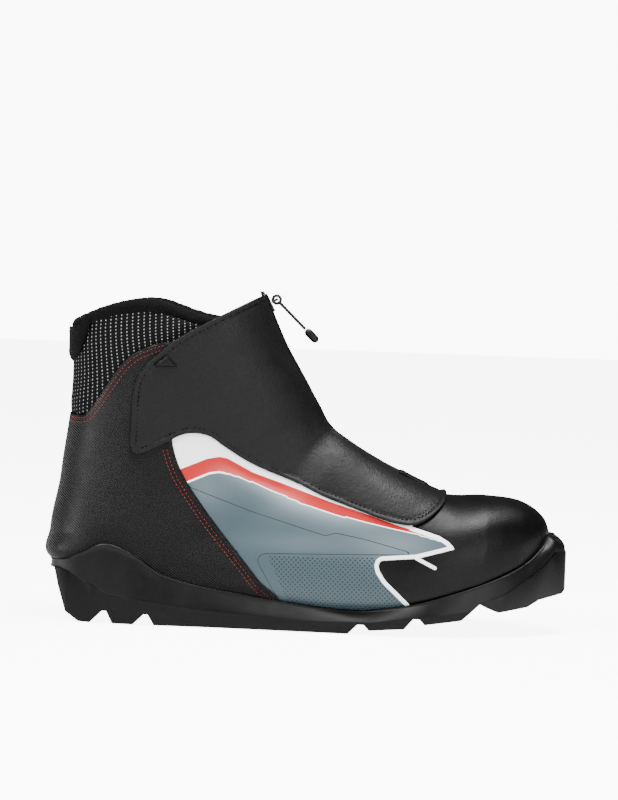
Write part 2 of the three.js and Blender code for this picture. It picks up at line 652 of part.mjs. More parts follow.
function addZip() {
  const toothIn = TEETH_APART / 2;
  const toothOut = toothIn + TOOTH_WIDTH;
  const tapeIn = toothOut + FIT_GAP;
  const strip = (layer, side, from, to, rowFrom, rowTo) => {
    return shell(layer)
      .intersect(frontBand(rowFrom, rowTo, -to, to))
      .intersect(slice(side, from, to));
  };
  const roomLength = SLIDER_LENGTH + 2 * FIT_GAP;
  const room = new THREE.BoxGeometry(roomLength, SLIDER_WIDTH + 2 * FIT_GAP, FAR);
  const sliderRoom = solid(room.applyMatrix4(sliderPlace()));
  for (const [name, side] of Object.entries(SIDES)) {
    const fixed = flapSide(side, -FOLD_GAP / 2);
    const folding = flapSide(side, FOLD_GAP / 2);
    const tape = strip(LAYER.tape, side, tapeIn, tapeIn + TAPE_WIDTH, ZIP_END_ROW, TAPE_TOP_ROW);
    const teeth = strip(LAYER.teeth, side, toothIn, toothOut, ZIP_END_ROW + TEETH_START, TEETH_TOP_ROW);
    addPart(`zip_tape_lower_${name}`, tape.subtract(fixed), "fabric");
    addPart(`zip_tape_upper_${name}`, tape.intersect(folding), "fabric");
    addPart(`zip_teeth_lower_${name}`, teeth.subtract(fixed), "plastic");
    addPart(`zip_teeth_upper_${name}`, teeth.intersect(folding), "plastic");
    const stop = strip(LAYER.teeth, side, toothIn, toothOut, ...TOP_STOP_ROWS);
    addPart(`zip_top_stop_${name}`, stop.subtract(sliderRoom), "steel");
  }
  const [endLow, endHigh] = END_STOP_ROWS;
  const end = strip(LAYER.teeth, 1, -toothOut, toothOut, ZIP_END_ROW + endLow, ZIP_END_ROW + endHigh);
  addPart("zip_bottom_stop", end, "steel");
}

// The row where the slider rests, with its end just below the top stops.
function slideTopRow() {
  const [stop] = TOP_STOP_ROWS;
  const rowLength = frontPoint(stop, 0).distanceTo(frontPoint(stop - 1, 0));
  return stop - (SLIDER_LENGTH / 2 + SLIDER_PARK) / rowLength;
}

// The slider's own frame: x runs down the zip, z out of the boot.
function sliderPlace() {
  const top = frontPoint(slideTopRow(), 0);
  const low = frontPoint(SLIDE_LOW_ROW, 0);
  const down = low.clone().sub(top).normalize();
  const side = new THREE.Vector3(0, 1, 0);
  const out = new THREE.Vector3().crossVectors(down, side);
  return new THREE.Matrix4().makeBasis(down, side, out).setPosition(top);
}

function addSlider() {
  const group = new THREE.Group();
  sliderPlace().decompose(group.position, group.quaternion, group.scale);
  boot.add(group);

  const outTop = LAYER.teeth[0] + LAYER_GAP;
  const inBottom = LAYER.teeth[1] - SLIDER_SLACK;
  const half = SLIDER_LENGTH / 2;
  const wide = SLIDER_WIDTH / 2;
  const outline = new THREE.Shape();
  const shoulder = half * SLIDER_SHOULDER;
  const nose = wide * SLIDER_NOSE;
  outline.moveTo(-half, -wide).lineTo(shoulder, -wide).lineTo(half, -nose);
  outline.lineTo(half, nose).lineTo(shoulder, wide).lineTo(-half, wide);
  const plate = (from) => {
    const geometry = new THREE.ExtrudeGeometry(outline, { depth: SLIDER_PLATE, bevelEnabled: false });
    return solid(geometry.translate(0, 0, from));
  };
  const webHeight = outTop - inBottom + SLIDER_PLATE;
  const web = new THREE.BoxGeometry(SLIDER_LENGTH * WEB_LENGTH, WEB, webHeight);
  const body = plate(outTop)
    .add(plate(inBottom - SLIDER_PLATE))
    .add(solid(web.translate(0, 0, (outTop + inBottom) / 2)));
  addPart("slider_body", body, "steel", group);

  // The bridge stands on the plate, and the pull's ring turns round its bar.
  const ringOut = BRIDGE_BAR / 2 * Math.SQRT2 + FIT_GAP + 2 * CORD_RADIUS;
  const plateTop = outTop + SLIDER_PLATE;
  const barAt = plateTop + FIT_GAP + ringOut;
  const archTop = barAt + BRIDGE_BAR / 2;
  const arch = new THREE.BoxGeometry(BRIDGE_BAR, BRIDGE_WIDTH, archTop - plateTop - FIT_GAP);
  const under = archTop - plateTop - FIT_GAP - BRIDGE_BAR;
  const opening = new THREE.BoxGeometry(2 * BRIDGE_BAR, BRIDGE_WIDTH - 2 * BRIDGE_LEG, 2 * under);
  const bridge = solid(arch.translate(0, 0, (archTop + plateTop + FIT_GAP) / 2))
    .subtract(solid(opening.translate(0, 0, plateTop + FIT_GAP)));
  addPart("slider_bridge", bridge, "steel", group);

  // The pull leans away from the zip.
  const pull = new THREE.Group();
  pull.position.set(0, 0, barAt);
  const down = new THREE.Vector3(1, 0, 0).applyQuaternion(group.quaternion);
  pull.rotation.y = PULL_LEAN - Math.atan2(-down.z, down.x);
  group.add(pull);
  const section = new THREE.Path().absarc(ringOut - CORD_RADIUS, 0, CORD_RADIUS, 0, 2 * Math.PI);
  const ring = solid(new THREE.LatheGeometry(section.getPoints(4), 12));
  const start = ringOut - CORD_RADIUS;
  const cord = new THREE.CylinderGeometry(CORD_RADIUS, CORD_RADIUS, CORD_LENGTH - start, 8);
  cord.rotateZ(Math.PI / 2).translate((CORD_LENGTH + start) / 2, 0, 0);
  addPart("pull_cord", ring.add(solid(cord)), "cord", pull);
  const grip = new THREE.CapsuleGeometry(GRIP_WIDTH / 2, GRIP_LENGTH - GRIP_WIDTH, 3, 10);
  grip.rotateZ(Math.PI / 2).translate(CORD_LENGTH + FIT_GAP + GRIP_LENGTH / 2, 0, 0);
  addPart("pull_grip", solid(grip), "plastic", pull);
}

addSole();
addFootSupport();
addSkin();
addInside();
addLacing();
addCover();
addZip();
addSlider();

export default boot;
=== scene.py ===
# %% [markdown]
# A cross country touring boot, finished over its CAD frame.
# The frame gives the bodies, the joints and the box of every part. This script adds the looks:
# leather and print, ribbed and dotted cloth, fleece, rubber, thread, zip teeth and cord.

# %% Load the frame
import math
import bmesh
import bpy
import numpy as np
from mathutils import Matrix, Vector, noise
from mathutils.bvhtree import BVHTree


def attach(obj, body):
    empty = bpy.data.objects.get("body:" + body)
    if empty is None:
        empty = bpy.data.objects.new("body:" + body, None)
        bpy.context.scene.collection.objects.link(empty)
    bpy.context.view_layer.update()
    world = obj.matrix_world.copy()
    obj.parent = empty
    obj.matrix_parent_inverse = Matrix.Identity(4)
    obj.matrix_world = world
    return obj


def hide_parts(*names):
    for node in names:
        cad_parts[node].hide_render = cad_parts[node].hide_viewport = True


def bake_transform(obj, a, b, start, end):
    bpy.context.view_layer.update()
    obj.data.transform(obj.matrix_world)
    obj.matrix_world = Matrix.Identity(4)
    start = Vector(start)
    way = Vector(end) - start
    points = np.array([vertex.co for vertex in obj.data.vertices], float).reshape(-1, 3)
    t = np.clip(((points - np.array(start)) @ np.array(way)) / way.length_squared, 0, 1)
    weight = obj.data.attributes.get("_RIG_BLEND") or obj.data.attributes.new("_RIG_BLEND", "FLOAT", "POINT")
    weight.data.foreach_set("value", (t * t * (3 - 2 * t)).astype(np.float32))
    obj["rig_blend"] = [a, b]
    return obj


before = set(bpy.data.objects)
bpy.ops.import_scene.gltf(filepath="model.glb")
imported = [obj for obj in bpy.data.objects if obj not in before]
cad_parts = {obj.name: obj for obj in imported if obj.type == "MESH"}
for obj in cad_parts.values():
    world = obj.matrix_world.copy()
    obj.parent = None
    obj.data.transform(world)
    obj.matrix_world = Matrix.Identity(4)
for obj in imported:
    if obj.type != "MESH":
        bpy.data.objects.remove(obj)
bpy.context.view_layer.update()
MM = 0.001
SIDES = {"lateral": -1, "medial": 1}
print("nodes in the frame:", len(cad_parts))

# %% [markdown]
# ## The camera first
# A long lens from far away keeps the boot's proportions, as in a catalogue.
# The boot stands flat, so the camera is rolled a little to show the sole running down to the toe.

# %% Camera
LENS_MM = 135
FRAME_TALL = 0.4667
ROLL = math.radians(2.0)
RISE = math.radians(2.5)
TARGET = Vector((-2.5, 0, 130.4)) * MM


def place_camera():
    camera = bpy.data.objects.new("camera", bpy.data.cameras.new("camera"))
    bpy.context.collection.objects.link(camera)
    camera.data.lens = LENS_MM
    camera.data.sensor_fit = "VERTICAL"
    camera.data.sensor_height = 36
    distance = FRAME_TALL * LENS_MM / camera.data.sensor_height
    away = Vector((0, -math.cos(RISE), math.sin(RISE)))
    camera.location = TARGET + away * distance
    turn = Matrix.Rotation(math.pi / 2 - RISE, 4, "X") @ Matrix.Rotation(ROLL, 4, "Z")
    camera.rotation_euler = turn.to_euler()
    bpy.context.scene.camera = camera
    print("camera stands back", round(distance, 3), "m")


place_camera()

# %% [markdown]
# ## Light and floor
# Big soft lights wrap the black leather in slow highlights. One stands high on the left and a
# weaker one fills from the right, over a pale floor.

# %% Studio
def area_light(name, place, aim, size, power):
    light = bpy.data.lights.new(name, "AREA")
    light.shape = "RECTANGLE"
    light.size, light.size_y = size
    light.energy = power
    lamp = bpy.data.objects.new(name, light)
    bpy.context.collection.objects.link(lamp)
    lamp.location = place
    lamp.rotation_euler = (Vector(aim) - Vector(place)).to_track_quat("-Z", "Y").to_euler()


def seen_or_lit(tree, seen, lit):
    """One value for what the camera sees directly and another for the light that it casts."""
    rays = tree.nodes.new("ShaderNodeLightPath")
    pick = tree.nodes.new("ShaderNodeMapRange")
    tree.links.new(rays.outputs["Is Camera Ray"], pick.inputs["Value"])
    pick.inputs["To Min"].default_value = lit
    pick.inputs["To Max"].default_value = seen
    return pick.outputs[0]


def studio():
    world = bpy.data.worlds.new("studio")
    bpy.context.scene.world = world
    world.use_nodes = True
    background = world.node_tree.nodes["Background"]
    background.inputs["Color"].default_value = (1, 1, 1, 1)
    strength = seen_or_lit(world.node_tree, 10.0, 0.07)
    world.node_tree.links.new(strength, background.inputs["Strength"])
    area_light("key", (-0.75, -1.0, 1.05), (0, 0, 0.08), (0.5, 0.9), 42)
    area_light("fill", (0.8, -1.3, 0.5), (0, 0, 0.08), (0.9, 0.9), 16)
    area_light("top", (0.25, -0.15, 1.3), (0, 0, 0.1), (0.9, 0.35), 40)
    bm = bmesh.new()
    bmesh.ops.create_grid(bm, x_segments=1, y_segments=1, size=6)
    data = bpy.data.meshes.new("floor")
    bm.to_mesh(data)
    bm.free()
    floor = bpy.data.objects.new("floor", data)
    floor.location = (0, 0, -0.0005)
    bpy.context.collection.objects.link(floor)
    material = bpy.data.materials.new("paper")
    material.use_nodes = True
    shader = material.node_tree.nodes["Principled BSDF"]
    shader.inputs["Base Color"].default_value = (0.9, 0.9, 0.9, 1)
    shader.inputs["Roughness"].default_value = 0.9
    shader.inputs["Emission Color"].default_value = (1, 1, 1, 1)
    glow = seen_or_lit(material.node_tree, 7.5, 0.0)
    material.node_tree.links.new(glow, shader.inputs["Emission Strength"])
    data.materials.append(material)


studio()

# %% [markdown]
# ## The foot form
# A shoemaker sews every layer over one solid foot form, the last. This one is a fan of sections
# round the instep, the same sections that the frame was designed on, so each layer of cloth lands
# exactly over its CAD solid. A curve through the sections gives any point on the form.

# %% Sections of the form
# (front x, front z), (back x, back z), half width, shift, belly, squareness of back and front
SECTIONS = [
    ((141, 57.5), (140.5, 51), 8, 6, 0.5, 2.2, 2.2),
    ((137, 66.5), (135.5, 43.5), 21, 6, 0.45, 3, 2.4),
    ((124.5, 75.2), (121, 31.5), 35, 4.5, 0.38, 4, 2.3),
    ((103, 78.3), (98, 22.2), 45.5, 2, 0.33, 4.6, 2.3),
    ((78, 78.6), (66, 14), 48.3, 0, 0.3, 5, 2.2),
    ((47, 91.7), (22, 9.8), 45, -1.5, 0.3, 4.6, 2.1),
    ((21, 106.5), (-34, 13), 39, -1.5, 0.32, 4, 2.1),
    ((9.5, 115.7), (-100, 21.5), 36.5, 0, 0.36, 3.4, 2.1),
    ((3.2, 126), (-147.6, 40), 36.5, 0, 0.42, 2.8, 2.2),
    ((-6.5, 142), (-145, 84), 37.5, 0, 0.48, 2.5, 2.3),
    ((-19, 163.5), (-139.6, 130), 39.5, 0, 0.5, 2.4, 2.4),
    ((-27, 181), (-139.2, 160), 41.5, 0, 0.5, 2.4, 2.4),
    ((-32.5, 195), (-139.5, 186), 42.5, 0, 0.5, 2.4, 2.4),
    ((-37, 208), (-140, 206), 43, 0, 0.5, 2.4, 2.4),
]
LAST_ROW = len(SECTIONS) - 1
FRONT = math.pi


def through(points, where):
    """A centripetal curve through the points, at places from 0 to 1."""
    points = np.array(points, float)
    ends = np.vstack([2 * points[0] - points[1], points, 2 * points[-1] - points[-2]])
    place = np.clip(np.asarray(where, float), 0, 1) * (len(points) - 1)
    i = np.minimum(place.astype(int), len(points) - 2)
    t = (place - i)[:, None]
    a, b, c, d = ends[i], ends[i + 1], ends[i + 2], ends[i + 3]
    step = [np.sqrt(np.linalg.norm(q - p, axis=1))[:, None] for p, q in ((a, b), (b, c), (c, d))]
    step[1] = np.where(step[1] < 1e-4, 1, step[1])
    step[0] = np.where(step[0] < 1e-4, step[1], step[0])
    step[2] = np.where(step[2] < 1e-4, step[1], step[2])
    into = ((b - a) / step[0] - (c - a) / (step[0] + step[1]) + (c - b) / step[1]) * step[1]
    out = ((c - b) / step[1] - (d - b) / (step[1] + step[2]) + (d - c) / step[2]) * step[1]
    return b + into * t + (3 * (c - b) - 2 * into - out) * t**2 + (2 * (b - c) + into + out) * t**3


FRONT_LINE = [(s[0][0], 0, s[0][1]) for s in SECTIONS]
BACK_LINE = [(s[1][0], 0, s[1][1]) for s in SECTIONS]
WIDTHS = [s[2:5] for s in SECTIONS]
SQUARENESS = [(s[5], s[6], 0) for s in SECTIONS]


def form(rows, turns, height=0.0):
    """Points on the form, in metres. Turn 0 is the back or underside, pi/2 the outer side."""
    rows, turns, height = np.broadcast_arrays(np.asarray(rows, float), turns, height)
    shape = rows.shape
    where = rows.ravel() / LAST_ROW
    turns, height = turns.ravel(), height.ravel()
    front, back = through(FRONT_LINE, where), through(BACK_LINE, where)
    half, shift, belly = through(WIDTHS, where).T
    low, high, _ = through(SQUARENESS, where).T
    up = front - back
    length = np.linalg.norm(up, axis=1)
    up /= length[:, None]
    rise, reach = -np.cos(turns), np.sin(turns)
    square = np.where(rise < 0, low, high)
    share = np.where(rise < 0, belly, 1 - belly)
    span = length + 2 * height
    climb = span * (belly + share * np.sign(rise) * np.abs(rise) ** (2 / square)) - height
    out = (half + height) * np.sign(reach) * np.abs(reach) ** (2 / square)
    points = back + up * climb[:, None]
    points[:, 1] = shift - out
    return points.reshape(*shape, 3) * MM


print("front line runs to", form(LAST_ROW, FRONT).round(4))

# %% [markdown]
# A grid of points laid straight onto the form would bunch up at the corners of the sections.
# Here both directions are walked by real length, so the cloth's threads stay the same size all
# over, and each point keeps those lengths as its cloth coordinates for the weave.

# %% A sheet bent onto the form
TURN_SAMPLES = np.linspace(-math.pi, math.pi, 721)


def even_turns(row, share, seam_at_front):
    """Turns at even shares of a section's length, and the length from the middle of the sheet."""
    turns = TURN_SAMPLES + (0 if seam_at_front else math.pi)
    walk = np.linalg.norm(np.diff(form(row, turns), axis=0), axis=1)
    length = np.concatenate([[0], np.cumsum(walk)])
    middle = length[len(length) // 2]
    place = middle + (length[-1] / 2) * share
    return np.interp(place, length, turns), place - middle


def even_rows(row_from, row_to, count, turn):
    rows = np.linspace(row_from, row_to, 200)
    walk = np.linalg.norm(np.diff(form(rows, turn), axis=0), axis=1)
    length = np.concatenate([[0], np.cumsum(walk)])
    place = np.linspace(0, length[-1], count)
    return np.interp(place, length, rows), place


def bent_sheet(row_from, row_to, rows, columns, seam_at_front=True, shares=(-1, 1)):
    """A grid of cloth on the form, as a bmesh with its cloth lengths in a layer."""
    bm = bmesh.new()
    bmesh.ops.create_grid(bm, x_segments=columns, y_segments=rows, size=0.5)
    layer = bm.verts.layers.float_vector.new("cloth")
    levels = bm.verts.layers.float.new("row")
    turn = math.pi * 0.55
    row_at, up_at = even_rows(row_from, row_to, rows + 1, turn)
    share = shares[0] + (shares[1] - shares[0]) * np.linspace(0, 1, columns + 1)
    turns = [even_turns(row, share, seam_at_front) for row in row_at]
    for vert in bm.verts:
        i = round((vert.co.x + 0.5) * columns)
        j = round((vert.co.y + 0.5) * rows)
        vert[layer] = (turns[j][1][i], up_at[j], turns[j][0][i])
        vert[levels] = row_at[j]
    lift(bm, lambda verts: np.zeros(len(verts)))
    return bm


def lift(bm, height):
    """Lays every point back on the form at a height in millimetres."""
    cloth, levels = bm.verts.layers.float_vector["cloth"], bm.verts.layers.float["row"]
    verts = list(bm.verts)
    rows = np.array([v[levels] for v in verts])
    turns = np.array([v[cloth].z for v in verts])
    for vert, point in zip(verts, form(rows, turns, height(verts))):
        vert.co = point


form_bm = bent_sheet(0, LAST_ROW, 150, 200)
form_bm.normal_update()
FORM_TREE = BVHTree.FromBMesh(form_bm)
form_bm.free()


def on_form(x, z, side):
    """The place and outward direction on the skin at a side-view place, in millimetres."""
    start = Vector((x * MM, side * 0.2, z * MM))
    place, normal, _, _ = FORM_TREE.ray_cast(start, Vector((0, -side, 0)))
    if place is None:
        place, normal, _, _ = FORM_TREE.find_nearest(Vector((x * MM, side * 0.01, z * MM)))
    if normal.y * side < 0:
        normal = -normal
    return place, normal


print("outer side at mid boot:", [round(v, 4) for v in on_form(0, 60, -1)[0]])

# %% [markdown]
# ## Cutting cloth by its pattern
# Pattern pieces are outlines in the side view. Each outline gives a signed distance: positive
# inside, in millimetres. Cutting splits every edge that crosses zero, joins the new points across
# their faces and throws the outside away, which leaves a clean edge along the pattern.

# %% Outlines and cutting


def smooth(points, pieces):
    """A smooth curve through a few points."""
    points = np.array(points, float)
    place = np.linspace(0, len(points) - 1, pieces + 1)
    i = np.minimum(place.astype(int), len(points) - 2)
    t = (place - i)[:, None]
    last = len(points) - 1
    a, b, c, d = points[np.maximum(i - 1, 0)], points[i], points[i + 1], points[np.minimum(i + 2, last)]
    into, out = (c - a) / 2, (d - b) / 2
    return b + into * t + (3 * (c - b) - 2 * into - out) * t**2 + (2 * (b - c) + into + out) * t**3


def distance_to(line, x, z):
    """Distance in millimetres from each place to a line."""
    best = np.full(len(x), 1e9)
    for (ax, az), (bx, bz) in zip(line[:-1], line[1:]):
        dx, dz = bx - ax, bz - az
        t = np.clip(((x - ax) * dx + (z - az) * dz) / max(dx * dx + dz * dz, 1e-9), 0, 1)
        best = np.minimum(best, np.hypot(x - ax - t * dx, z - az - t * dz))
    return best


def inside(outline, x, z):
    """Signed distance to a closed outline: positive inside."""
    closed = np.vstack([outline, outline[:1]])
    odd = np.zeros(len(x), bool)
    for (ax, az), (bx, bz) in zip(closed[:-1], closed[1:]):
        if az != bz:
            odd ^= ((az > z) != (bz > z)) & (x < (bx - ax) * (z - az) / (bz - az) + ax)
    return np.where(odd, 1, -1) * distance_to(closed, x, z)


FAR = 400


def ahead(line):
    return np.vstack([line, [(FAR, FAR), (FAR, -FAR)]])


def behind(line):
    return np.vstack([line, [(-FAR, FAR), (-FAR, -FAR)]])


def above(line):
    return np.vstack([line, [(FAR, FAR), (-FAR, FAR)]])


def below(line):
    return np.vstack([line, [(FAR, -FAR), (-FAR, -FAR)]])


def side_view(verts):
    """Places of the points as along, up and across, in millimetres."""
    place = np.array([v.co for v in verts]) / MM
    return place[:, 0], place[:, 2], place[:, 1]


def laid_grid(points):
    """A mesh over rows and columns of points, joined where its first and last lines meet."""
    across, along = len(points) - 1, len(points[0]) - 1
    bm = bmesh.new()
    bmesh.ops.create_grid(bm, x_segments=across, y_segments=along, size=0.5)
    for vert in bm.verts:
        i = round((vert.co.x + 0.5) * across)
        j = round((vert.co.y + 0.5) * along)
        vert.co = points[i][j]
    bmesh.ops.remove_doubles(bm, verts=bm.verts, dist=1e-7)
    return bm


def trim(bm, field):
    """Keeps where field(x, z, y), in millimetres, is positive."""
    values = field(*side_view(bm.verts))
    bm.verts.index_update()
    value = {v: f for v, f in zip(bm.verts, values)}
    crossing = []
    for edge in bm.edges:
        a, b = edge.verts
        fa, fb = value[a], value[b]
        if fa * fb < 0:
            crossing.append((edge, a, fa / (fa - fb)))
    fresh = []
    for edge, vert, share in crossing:
        _, new = bmesh.utils.edge_split(edge, vert, min(max(share, 0.02), 0.98))
        fresh.append(new)
    bmesh.ops.connect_verts(bm, verts=fresh)
    on_edge = set(fresh)
    gone = []
    for face in bm.faces:
        known = [value[v] for v in face.verts if v not in on_edge]
        if known and sum(known) < 0:
            gone.append(face)
    bmesh.ops.delete(bm, geom=gone, context="FACES")


def cut(bm, *outlines):
    for outline in outlines:
        trim(bm, lambda x, z, y: inside(outline, x, z))


TOE_SEAM = np.array([(58.7, -60), (58.7, 18), (44.7, 31), (41.2, 36), (40.3, 39.3), (40.8, 41.4),
                     (42.3, 42.5), (62, 44.3), (83.7, 50.2), (79.8, 54.3), (74.6, 57.2), (58.9, 61.9),
                     (57, 75), (62, 240)], float)
HEEL_SEAM = smooth([(-12, -60), (-12, 8), (-28.7, 30), (-60.2, 68), (-77, 95.6), (-80, 125), (-80, 240)], 60)
COLLAR_BORDER = smooth([(-220, 119.5), (-143, 118.9), (-133, 118.6), (-127.5, 122.7), (-116, 140.2),
                        (-108, 151), (-98, 158), (-80.7, 162.6), (-40, 159), (60, 150)], 80)
COLLAR_EDGE = smooth([(-220, 160), (-141, 166.5), (-129, 174), (-109.3, 179.5), (-89.2, 179),
                      (-65.8, 172.6), (-40, 171), (60, 175)], 60)
COVER_BACK = smooth([(0, 208.4), (-30.3, 191.9), (-58.9, 176.3), (-78.7, 164.6), (-89.4, 155.2),
                     (-96.2, 148.9), (-101, 140.7), (-102.8, 130.5), (-103.2, 116.5), (-103.4, 103.4)], 60)
COVER_LOW = smooth([(-101.5, 98.9), (-97.4, 98), (-90.5, 100.9), (-82.6, 105.2), (-74.7, 109.5),
                    (-66.7, 110.7), (-58.6, 109), (-50.4, 103.3), (-38, 95.6), (-25.8, 90), (-6, 82.5),
                    (6.7, 76.7), (25.7, 70.1), (39.4, 65.3), (49.9, 62.6), (59.3, 62.1), (67.5, 65.3),
                    (74.6, 70.7), (78.6, 76.1), (79.4, 84)], 110)
COVER_OUTLINE = np.vstack([COVER_BACK, COVER_LOW, [(79.5, 95), (79.5, 230), (0, 230)]])
print("pattern lines drawn")

# %% [markdown]
# ## Turning cloth into pieces
# A finished piece needs a name, a body to ride on, the CAD nodes that it stands for and a
# material slot. Cloth gets its thickness inwards from a Solidify modifier.

# %% Making a piece

def finish_piece(bm, name, material, body="boot", replaces=(), thickness=0.0, smooth_shade=True):
    data = bpy.data.meshes.new(name)
    for face in bm.faces:
        face.smooth = smooth_shade
    bm.to_mesh(data)
    bm.free()
    piece = bpy.data.objects.new(name, data)
    bpy.context.collection.objects.link(piece)
    data.materials.append(material)
    if thickness:
        wall = piece.modifiers.new("wall", "SOLIDIFY")
        wall.thickness = thickness * MM
        wall.offset = -1
        wall.use_quality_normals = True
    if body:
        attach(piece, body)
    if replaces:
        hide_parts(*replaces)
    points = np.array([v.co for v in data.vertices]).reshape(-1, 3) / MM
    print(name, len(points), "points,", points.min(0).round(1), "to", points.max(0).round(1), "mm")
    return piece


MID_HEIGHT = 0.07


def face_out(bm):
    """Turns the faces outwards: a bent sheet's own order may face in."""
    bm.normal_update()
    score = 0
    for face in bm.faces:
        middle = face.calc_center_median()
        score += face.normal.dot(Vector((0, middle.y, middle.z - MID_HEIGHT)))
    if score < 0:
        bmesh.ops.reverse_faces(bm, faces=bm.faces)


# %% [markdown]
# ## Finishes
# Every finish is a small graph of procedural nodes. Grain and weave come from noise and waves on
# the piece's own coordinates, so nothing is painted by hand.

# %% Finishes


class Finish:
    """A procedural material, built node by node."""

    def __init__(self, name, colour, roughness, **sockets):
        self.material = bpy.data.materials.new(name)
        self.material.use_nodes = True
        self.tree = self.material.node_tree
        self.shader = self.tree.nodes["Principled BSDF"]
        self.shader.inputs["Base Color"].default_value = (*colour, 1)
        self.shader.inputs["Roughness"].default_value = roughness
        for socket, value in sockets.items():
            self.shader.inputs[socket.replace("_", " ")].default_value = value

    def add(self, kind, settings=None, **inputs):
        node = self.tree.nodes.new("ShaderNode" + kind)
        for key, value in (settings or {}).items():
            setattr(node, key, value)
        for socket, value in inputs.items():
            self.put(node.inputs[socket.replace("_", " ")], value)
        return node

    def put(self, socket, value):
        if isinstance(value, bpy.types.NodeSocket):
            self.tree.links.new(value, socket)
        else:
            socket.default_value = value

    def sum(self, operation, *values):
        node = self.add("Math", {"operation": operation})
        for i, value in enumerate(values):
            self.put(node.inputs[i], value)
        return node.outputs[0]

    def dot_product(self, a, b):
        node = self.add("VectorMath", {"operation": "DOT_PRODUCT"})
        self.put(node.inputs[0], a)
        self.put(node.inputs[1], b)
        return node.outputs["Value"]

    def object_place(self):
        return self.add("TexCoord").outputs["Object"]

    def attribute(self, name, output="Fac"):
        return self.add("Attribute", {"attribute_name": name}).outputs[output]

    def ramp(self, value, start, end, low=0.0, high=1.0):
        node = self.add("MapRange", Value=value, From_Min=start, From_Max=end, To_Min=low, To_Max=high)
        return node.outputs[0]

    def mix(self, share, a, b):
        node = self.add("Mix", {"data_type": "RGBA"})
        self.put(node.inputs[0], share)
        self.put(node.inputs[6], (*a, 1) if isinstance(a, tuple) else a)
        self.put(node.inputs[7], (*b, 1) if isinstance(b, tuple) else b)
        return node.outputs[2]

    def noise(self, place, scale, detail=2.0):
        return self.add("TexNoise", Vector=place, Scale=scale, Detail=detail).outputs[0]

    def cells(self, place, scale):
        node = self.add("TexVoronoi", {"feature": "SMOOTH_F1"}, Vector=place, Scale=scale)
        return node.outputs["Distance"]

    def bump(self, height, depth):
        """Shades a height from 0 to 1 as relief of that depth, in metres."""
        node = self.add("Bump", Height=height, Distance=depth, Strength=1.0)
        normal = self.shader.inputs["Normal"]
        if normal.is_linked:
            self.tree.links.new(normal.links[0].from_socket, node.inputs["Normal"])
        self.put(normal, node.outputs[0])

    def colour(self, value):
        self.put(self.shader.inputs["Base Color"], value)

    def vary(self, place, scale, low, high):
        """Roughness that changes a little from place to place."""
        self.put(self.shader.inputs["Roughness"], self.ramp(self.noise(place, scale), 0.3, 0.7, low, high))


def leather(name, colour, low, high, grain, depth):
    finish = Finish(name, colour, low, Specular_IOR_Level=0.14)
    place = finish.object_place()
    pebbles = finish.cells(place, 1 / grain)
    finish.bump(finish.sum("ADD", pebbles, finish.noise(place, 0.4 / grain, 4.0)), depth)
    finish.vary(place, 90.0, low, high)
    return finish


grain_leather = leather("grain leather", (0.0040, 0.0040, 0.0042), 0.40, 0.52, 0.0009, 0.00018)
edge_leather = leather("turned edge", (0.001, 0.001, 0.001), 0.40, 0.55, 0.0008, 0.00006)


def plain(name, colour, low, high, speck, depth, **sockets):
    """Moulded or coated stuff with a fine surface."""
    finish = Finish(name, colour, low, **sockets)
    place = finish.object_place()
    finish.bump(finish.noise(place, speck, 3.0), depth)
    finish.vary(place, 60.0, low, high)
    return finish.material


rubber = plain("rand rubber", (0.0024, 0.0023, 0.0022), 0.32, 0.44, 900.0, 0.00003,
               Specular_IOR_Level=0.16)
tread_rubber = plain("tread rubber", (0.0015, 0.0015, 0.0015), 0.44, 0.58, 1200.0, 0.00004,
                     Specular_IOR_Level=0.14)
moulded = plain("moulded nylon", (0.0018, 0.0018, 0.0018), 0.34, 0.46, 1500.0, 0.00002,
                Specular_IOR_Level=0.18)
bright_steel = plain("brushed steel", (0.5, 0.5, 0.51), 0.22, 0.32, 700.0, 0.00001, Metallic=1.0)
dark_metal = plain("blackened metal", (0.05, 0.05, 0.05), 0.28, 0.4, 700.0, 0.00001, Metallic=1.0)
coil = plain("zip teeth", (0.006, 0.006, 0.0065), 0.3, 0.4, 900.0, 0.00001)
board = plain("fibre board", (0.25, 0.19, 0.12), 0.7, 0.8, 400.0, 0.00008)
# The thread's very dark colour is partly painted shade: it stands in for the shadow in the cover's groove
# where the stitches lie.
black_thread_and_shade = plain("black thread and painted shade", (0.0002, 0.0002, 0.0002), 0.6, 0.7, 3000.0, 0.00004,
                     Specular_IOR_Level=0.05)
red_thread = plain("red thread", (0.16, 0.002, 0.003), 0.5, 0.65, 3000.0, 0.00004)


def cloth_grid(finish, across, along):
    """Cloth coordinates in threads: (column, row)."""
    cloth = finish.add("SeparateXYZ", Vector=finish.attribute("cloth", "Vector"))
    column = finish.sum("DIVIDE", cloth.outputs[0], across)
    row = finish.sum("DIVIDE", cloth.outputs[1], along)
    return column, row


def dot_distance(finish, column, row, across, along, shifts=(0.0, 0.5)):
    """Distance in metres to the nearest dot of a grid, which may be laid twice, half a step apart."""
    nearest = []
    for shift in shifts:
        x = finish.sum("PINGPONG", finish.sum("ADD", column, shift), 0.5)
        y = finish.sum("PINGPONG", finish.sum("ADD", row, shift), 0.5)
        x, y = finish.sum("MULTIPLY", x, across), finish.sum("MULTIPLY", y, along)
        squares = finish.sum("ADD", finish.sum("MULTIPLY", x, x), finish.sum("MULTIPLY", y, y))
        nearest.append(finish.sum("SQRT", squares))
    return finish.sum("MINIMUM", *nearest) if len(nearest) > 1 else nearest[0]


